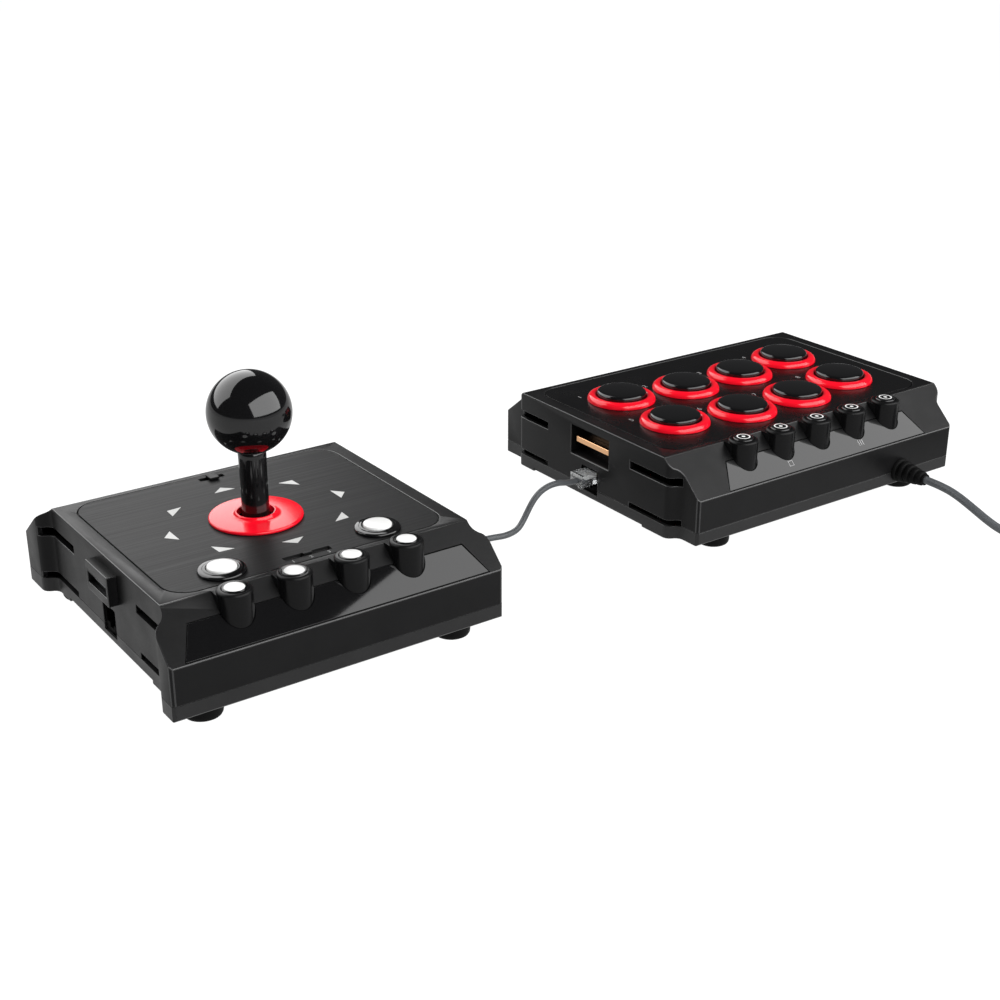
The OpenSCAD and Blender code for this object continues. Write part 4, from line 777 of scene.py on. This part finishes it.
# Feet, contact strips and plugs
def foot_pieces():
    """Rubber feet with a rounded tread and a groove near the case."""
    r, top, groove = 8 * MM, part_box("rubber_feet")[1][2], 0.5 * MM
    lever_foot_x, button_foot_x, foot_y = 57 * MM, 64 * MM, 62 * MM
    profile = [
        (0, 0), (r - 2.4 * MM, 0), (r - 1.4 * MM, 0.12 * MM), (r - 0.6 * MM, 0.6 * MM),
        (r - 0.15 * MM, 1.4 * MM), (r, 2.4 * MM), (r, top - 1.6 * MM), (r - groove, top - 1.5 * MM),
        (r - groove, top - 1.1 * MM), (r, top - 1.0 * MM), (r, top), (0, top),
    ]
    bm = bmesh.new()
    for sx in (-1, 1):
        for sy in (-1, 1):
            lathe(bm, (LEVER_CASE_X + sx * lever_foot_x, LEVER_CASE_Y + sy * foot_y), profile, 72)
            lathe(bm, (BUTTON_CASE_X + sx * button_foot_x, BUTTON_CASE_Y + sy * foot_y), profile, 72)
    return place(mesh_piece("rubber_feet_form", bm, 35), "rubber_feet")


def slot_strips():
    """Sprung contact strips in the pockets of the lever case's two hooks."""
    inner, outer, y, half_l = 70.0 * MM, 70.35 * MM, LEVER_CASE_Y - 3.5 * MM, 9.3 * MM
    low, high = 34.8 * MM, 36.8 * MM
    bm = bmesh.new()
    for side in (-1, 1):
        x0, x1 = sorted((LEVER_CASE_X + side * inner, LEVER_CASE_X + side * outer))
        box_mesh(bm, (x0, y - half_l, low), (x1, y + half_l, high))
    return place(soften(mesh_piece("slot_strips", bm), 0.05 * MM), body="root", slot="zinc")


def plug_pieces():
    """Clear modular plugs: a stepped body with eight contacts, a latch and the cord's crimp."""
    stick_face = LEVER_CASE_X + 68.6 * MM
    button_face = BUTTON_CASE_X - 92.2 * MM
    mid_z = LINK_ROUTE[0][2]
    half_w, half_h, inside, outside = 4.65 * MM, 3.4 * MM, 9.2 * MM, 8 * MM
    latch_half_w, latch_foot, wire_pitch = 1.5 * MM, 1.3 * MM, 1.02 * MM
    bottom, top = mid_z - half_h, mid_z + half_h
    clear, pins, wires, crimp = bmesh.new(), bmesh.new(), bmesh.new(), bmesh.new()
    for face, side, y in ((stick_face, 1, LINK_ROUTE[0][1]), (button_face, -1, LINK_ROUTE[-1][1])):
        def block(bm, start, end, mid_y, half_y, low_z, high_z):
            """A block from a start to an end, counted out from the case's face."""
            x0, x1 = sorted((face + side * start, face + side * end))
            box_mesh(bm, (x0, mid_y - half_y, low_z), (x1, mid_y + half_y, high_z))

        block(clear, -inside, outside, y, half_w, bottom + 0.9 * MM, top)
        block(clear, -inside, -2 * MM, y, half_w - 0.7 * MM, bottom, mid_z)
        for latch_end, latch_top in ((6 * MM, bottom - 0.5 * MM), (-inside + 1.6 * MM, bottom + 0.2 * MM)):
            block(clear, -inside + 0.2 * MM, latch_end, y, latch_half_w, bottom - latch_foot, latch_top)
        for i in range(8):
            wire_y = y + (i - 3.5) * wire_pitch
            block(
                pins, -inside + 0.6 * MM, -inside + 3.4 * MM, wire_y, 0.17 * MM, top - 3 * MM, top - 0.1 * MM,
            )
            block(wires, -inside + 2 * MM, 5.5 * MM, wire_y, 0.3 * MM, mid_z + 0.9 * MM, mid_z + 1.6 * MM)
        block(crimp, 2.5 * MM, outside - 0.4 * MM, y, 2.6 * MM, mid_z - 1.4 * MM, mid_z + 0.8 * MM)
    place(soften(mesh_piece("link_plugs_form", clear), 0.3 * MM), "link_plugs")
    for name, bm, width, slot, look in (
        ("link_plug_contacts", pins, 0.05 * MM, "copper", gold_pin),
        ("link_plug_wires", wires, 0.2 * MM, "white_cap", print_white),
        ("link_plug_crimps", crimp, 0.2 * MM, "cord_grey", None),
    ):
        place(soften(mesh_piece(name, bm), width), body="root", slot=slot, look=look)


foot_pieces()
slot_strips()
plug_pieces()


# Printed marks
PRINT_Z = CASE_TOP + LINE_LIFT
NUMBER_OUT = 15.2 * MM
MODE_PITCH = 8 * MM
MODE_DROP = 3.6 * MM
SQUARE_MARK_X, BARS_MARK_X, MARK_UP = -24.4 * MM, 23.4 * MM, 5.6 * MM


def arrow_marks():
    """Eight arrows round the lever, on an oval, each pointing outward."""
    cx, cy = LEVER_CASE_X - 0.2 * MM, LEVER_CASE_Y - 2.2 * MM
    rx, ry, base, height = 39 * MM, 32.4 * MM, 9.8 * MM, 4.4 * MM
    bm = bmesh.new()
    for i in range(8):
        a = TURN * i / 8
        x, y = cx + rx * math.cos(a), cy + ry * math.sin(a)
        out = Vector((math.cos(a), math.sin(a)))
        side = Vector((-out.y, out.x))
        foot = Vector((x, y)) - out * height / 3
        corners = (foot + side * base / 2, foot - side * base / 2, foot + out * height)
        bm.faces.new([bm.verts.new((*corner, PRINT_Z)) for corner in corners])
    bm.normal_update()
    for face in bm.faces:
        if face.normal.z < 0:
            face.normal_flip()
    return place(mesh_piece("direction_arrows", bm), body="root", slot="white_cap", look=print_grey)


def number_mark(name, text, x, y, size):
    """A plain printed number on a case's top, as a flat mesh."""
    curve = bpy.data.curves.new(name, "FONT")
    curve.body = text
    curve.size = size
    curve.align_x = "CENTER"
    curve.align_y = "CENTER"
    source = bpy.data.objects.new(name + "_source", curve)
    bpy.context.collection.objects.link(source)
    mesh = bpy.data.meshes.new_from_object(source.evaluated_get(bpy.context.evaluated_depsgraph_get()))
    bpy.data.objects.remove(source)
    bpy.data.curves.remove(curve)
    mesh.transform(Matrix.Translation((x, y, PRINT_Z)))
    return place(bpy.data.objects.new(name, mesh), body="root", slot="white_cap", look=print_dim)


arrow_marks()
for i, node in enumerate(action_buttons, 1):
    x, y, _ = middle(node)
    number_mark(f"button_number_{i}", str(i), x - NUMBER_OUT, y + NUMBER_OUT * 0.95, 4.2 * MM)
slot_x, slot_y, _ = middle("mode_slider")
for i in (1, 2, 3):
    number_mark(f"mode_number_{i}", str(i), slot_x + (i - 2) * MODE_PITCH, slot_y - MODE_DROP, 2.8 * MM)


def ring_outline_mesh(bm, x, y, z, outer, inner, count=48):
    """A flat ring."""
    turns = [TURN * i / count for i in range(count)]
    rings = [
        [bm.verts.new((x + r * math.cos(a), y + r * math.sin(a), z)) for a in turns] for r in (outer, inner)
    ]
    for i in range(count):
        j = (i + 1) % count
        bm.faces.new((rings[0][i], rings[0][j], rings[1][j], rings[1][i]))


for i, node in enumerate(button_keys, 1):
    x, y, _ = middle(node)
    print_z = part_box(node)[1][2] + 0.02 * MM
    bm = bmesh.new()
    ring_outline_mesh(bm, x, y, print_z, 3.25 * MM, 2.65 * MM)
    ring_outline_mesh(bm, x, y, print_z, 0.9 * MM, 0.02 * MM, 24)
    place(mesh_piece(f"key_ring_{i}", bm), body=node, slot="white_cap", look=print_white)


def slope_marks():
    """Two tiny marks on the button case's slope plate: a small square frame and three short bars."""
    foot_z, depth, bar_pitch, bar_half_w, bar_half_l = 30.2 * MM, 18.6 * MM, 1.4 * MM, 0.2 * MM, 1.4 * MM
    rise = CASE_TOP - foot_z
    along = Vector((0, depth, rise)).normalized()
    out = Vector((0, -rise, depth)).normalized()
    foot = Vector((BUTTON_CASE_X, BUTTON_CASE_Y - 75.5 * MM, foot_z))

    def bar(bm, x, up, half_x, half_up):
        """A flat bar on the slope, by its middle and its half sizes."""
        centre = foot + Vector((x, 0, 0)) + along * up + out * LINE_LIFT
        corners = ((-1, -1), (1, -1), (1, 1), (-1, 1))
        bm.faces.new([
            bm.verts.new(centre + Vector((sx * half_x, 0, 0)) + along * (sy * half_up)) for sx, sy in corners
        ])

    bm = bmesh.new()
    x, up, reach, thin = SQUARE_MARK_X, MARK_UP, 1.3 * MM, 0.14 * MM
    for side in (-1, 1):
        bar(bm, x + side * reach, up, thin, reach + thin)
        bar(bm, x, up + side * reach, reach - thin, thin)
    for i in (-1, 0, 1):
        bar(bm, BARS_MARK_X + i * bar_pitch, up, bar_half_w, bar_half_l)
    return place(mesh_piece("slope_marks", bm), body="root", slot="white_cap", look=print_dim)


slope_marks()


# Screws below, and each solid's own finish
refined("case_screws", 0.15 * MM)
for node, slot in slots.items():
    obj = frame["nodes"][node]
    obj.data.materials.clear()
    obj.data.materials.append(looks[slot])


# Stage, lights and world
BOX_SCALE = 0.8


def softbox(name, azimuth, radiance, *places):
    """A leaning panel of light. Its places are the distance and height of its near edge and of its far edge,
    and its reach to each side, all from the ball top's middle and scaled alike."""
    near, top, far, bottom, left, right = [distance * BOX_SCALE for distance in places]
    anchor = Vector((-0.1475, -0.007, 0.094))
    a = math.radians(azimuth)
    ahead = Vector((math.sin(a), math.cos(a), 0))
    across = Vector((math.cos(a), -math.sin(a), 0))
    upper = anchor + ahead * near + Vector((0, 0, top)) + across * (right + left) / 2
    lower = anchor + ahead * far + Vector((0, 0, bottom)) + across * (right + left) / 2
    light = bpy.data.lights.new(name, "AREA")
    light.shape = "RECTANGLE"
    light.size = right - left
    light.size_y = (upper - lower).length
    light.energy = radiance * math.pi * light.size * light.size_y
    obj = bpy.data.objects.new(name, light)
    up = (upper - lower).normalized()
    facing = across.cross(up)
    if facing.dot(ahead) < 0:
        facing = -facing
    side = up.cross(facing)
    turned = Matrix((side, up, facing)).transposed().to_4x4()
    obj.matrix_world = Matrix.Translation((upper + lower) / 2) @ turned
    obj.visible_camera = False
    bpy.context.collection.objects.link(obj)


softbox("light_rear_left", -18, 3.2, 0.556, 1.11, 1.087, 0.22, -1, 1)
softbox("light_front_right", 156, 4.3, 0.8235, 1.034, 1.30, 0.11, -1.2, 1)


def floor_piece():
    """A wide pale floor. The camera and reflections see it near white, with the object's soft shadow."""
    camera_glow, mirror_glow, glow_share, half_width = 1.16, 0.7, 0.86, 60
    material, add, join = node_kit("floor_white")
    out = add("ShaderNodeOutputMaterial")
    diffuse = add("ShaderNodeBsdfDiffuse")
    noise = add("ShaderNodeTexNoise", {"Scale": 3.0})
    ramp = add("ShaderNodeValToRGB")
    for stop, level in zip(ramp.color_ramp.elements, (0.86, 0.88)):
        stop.color = (level, level, level, 1)
    join(noise.outputs["Fac"], ramp.inputs["Fac"])
    join(ramp.outputs["Color"], diffuse.inputs["Color"])
    path = add("ShaderNodeLightPath")
    mirrored = add("ShaderNodeMath", operation="MAXIMUM")
    join(path.outputs["Is Glossy Ray"], mirrored.inputs[0])
    join(path.outputs["Is Transmission Ray"], mirrored.inputs[1])
    shown = diffuse.outputs[0]
    for seen, strength in ((path.outputs["Is Camera Ray"], camera_glow), (mirrored.outputs[0], mirror_glow)):
        glow = add("ShaderNodeEmission", {"Color": (1, 1, 1, 1), "Strength": strength})
        share = add("ShaderNodeMath", {1: glow_share}, operation="MULTIPLY")
        mix = add("ShaderNodeMixShader")
        join(seen, share.inputs[0])
        join(share.outputs[0], mix.inputs["Fac"])
        join(shown, mix.inputs[1])
        join(glow.outputs[0], mix.inputs[2])
        shown = mix.outputs[0]
    join(shown, out.inputs["Surface"])
    bm = bmesh.new()
    bmesh.ops.create_grid(bm, x_segments=8, y_segments=8, size=half_width)
    bmesh.ops.translate(bm, verts=bm.verts, vec=(0, 0, -0.1 * MM))
    floor = mesh_piece("floor", bm)
    bpy.context.collection.objects.link(floor)
    floor.data.materials.append(material)


floor_piece()
world = bpy.data.worlds.new("studio")
world.use_nodes = True
background = world.node_tree.nodes["Background"]
background.inputs["Color"].default_value = (0.07, 0.07, 0.072, 1)
background.inputs["Strength"].default_value = 1.0
bpy.context.scene.world = world
bpy.context.scene.view_settings.view_transform = "Standard"
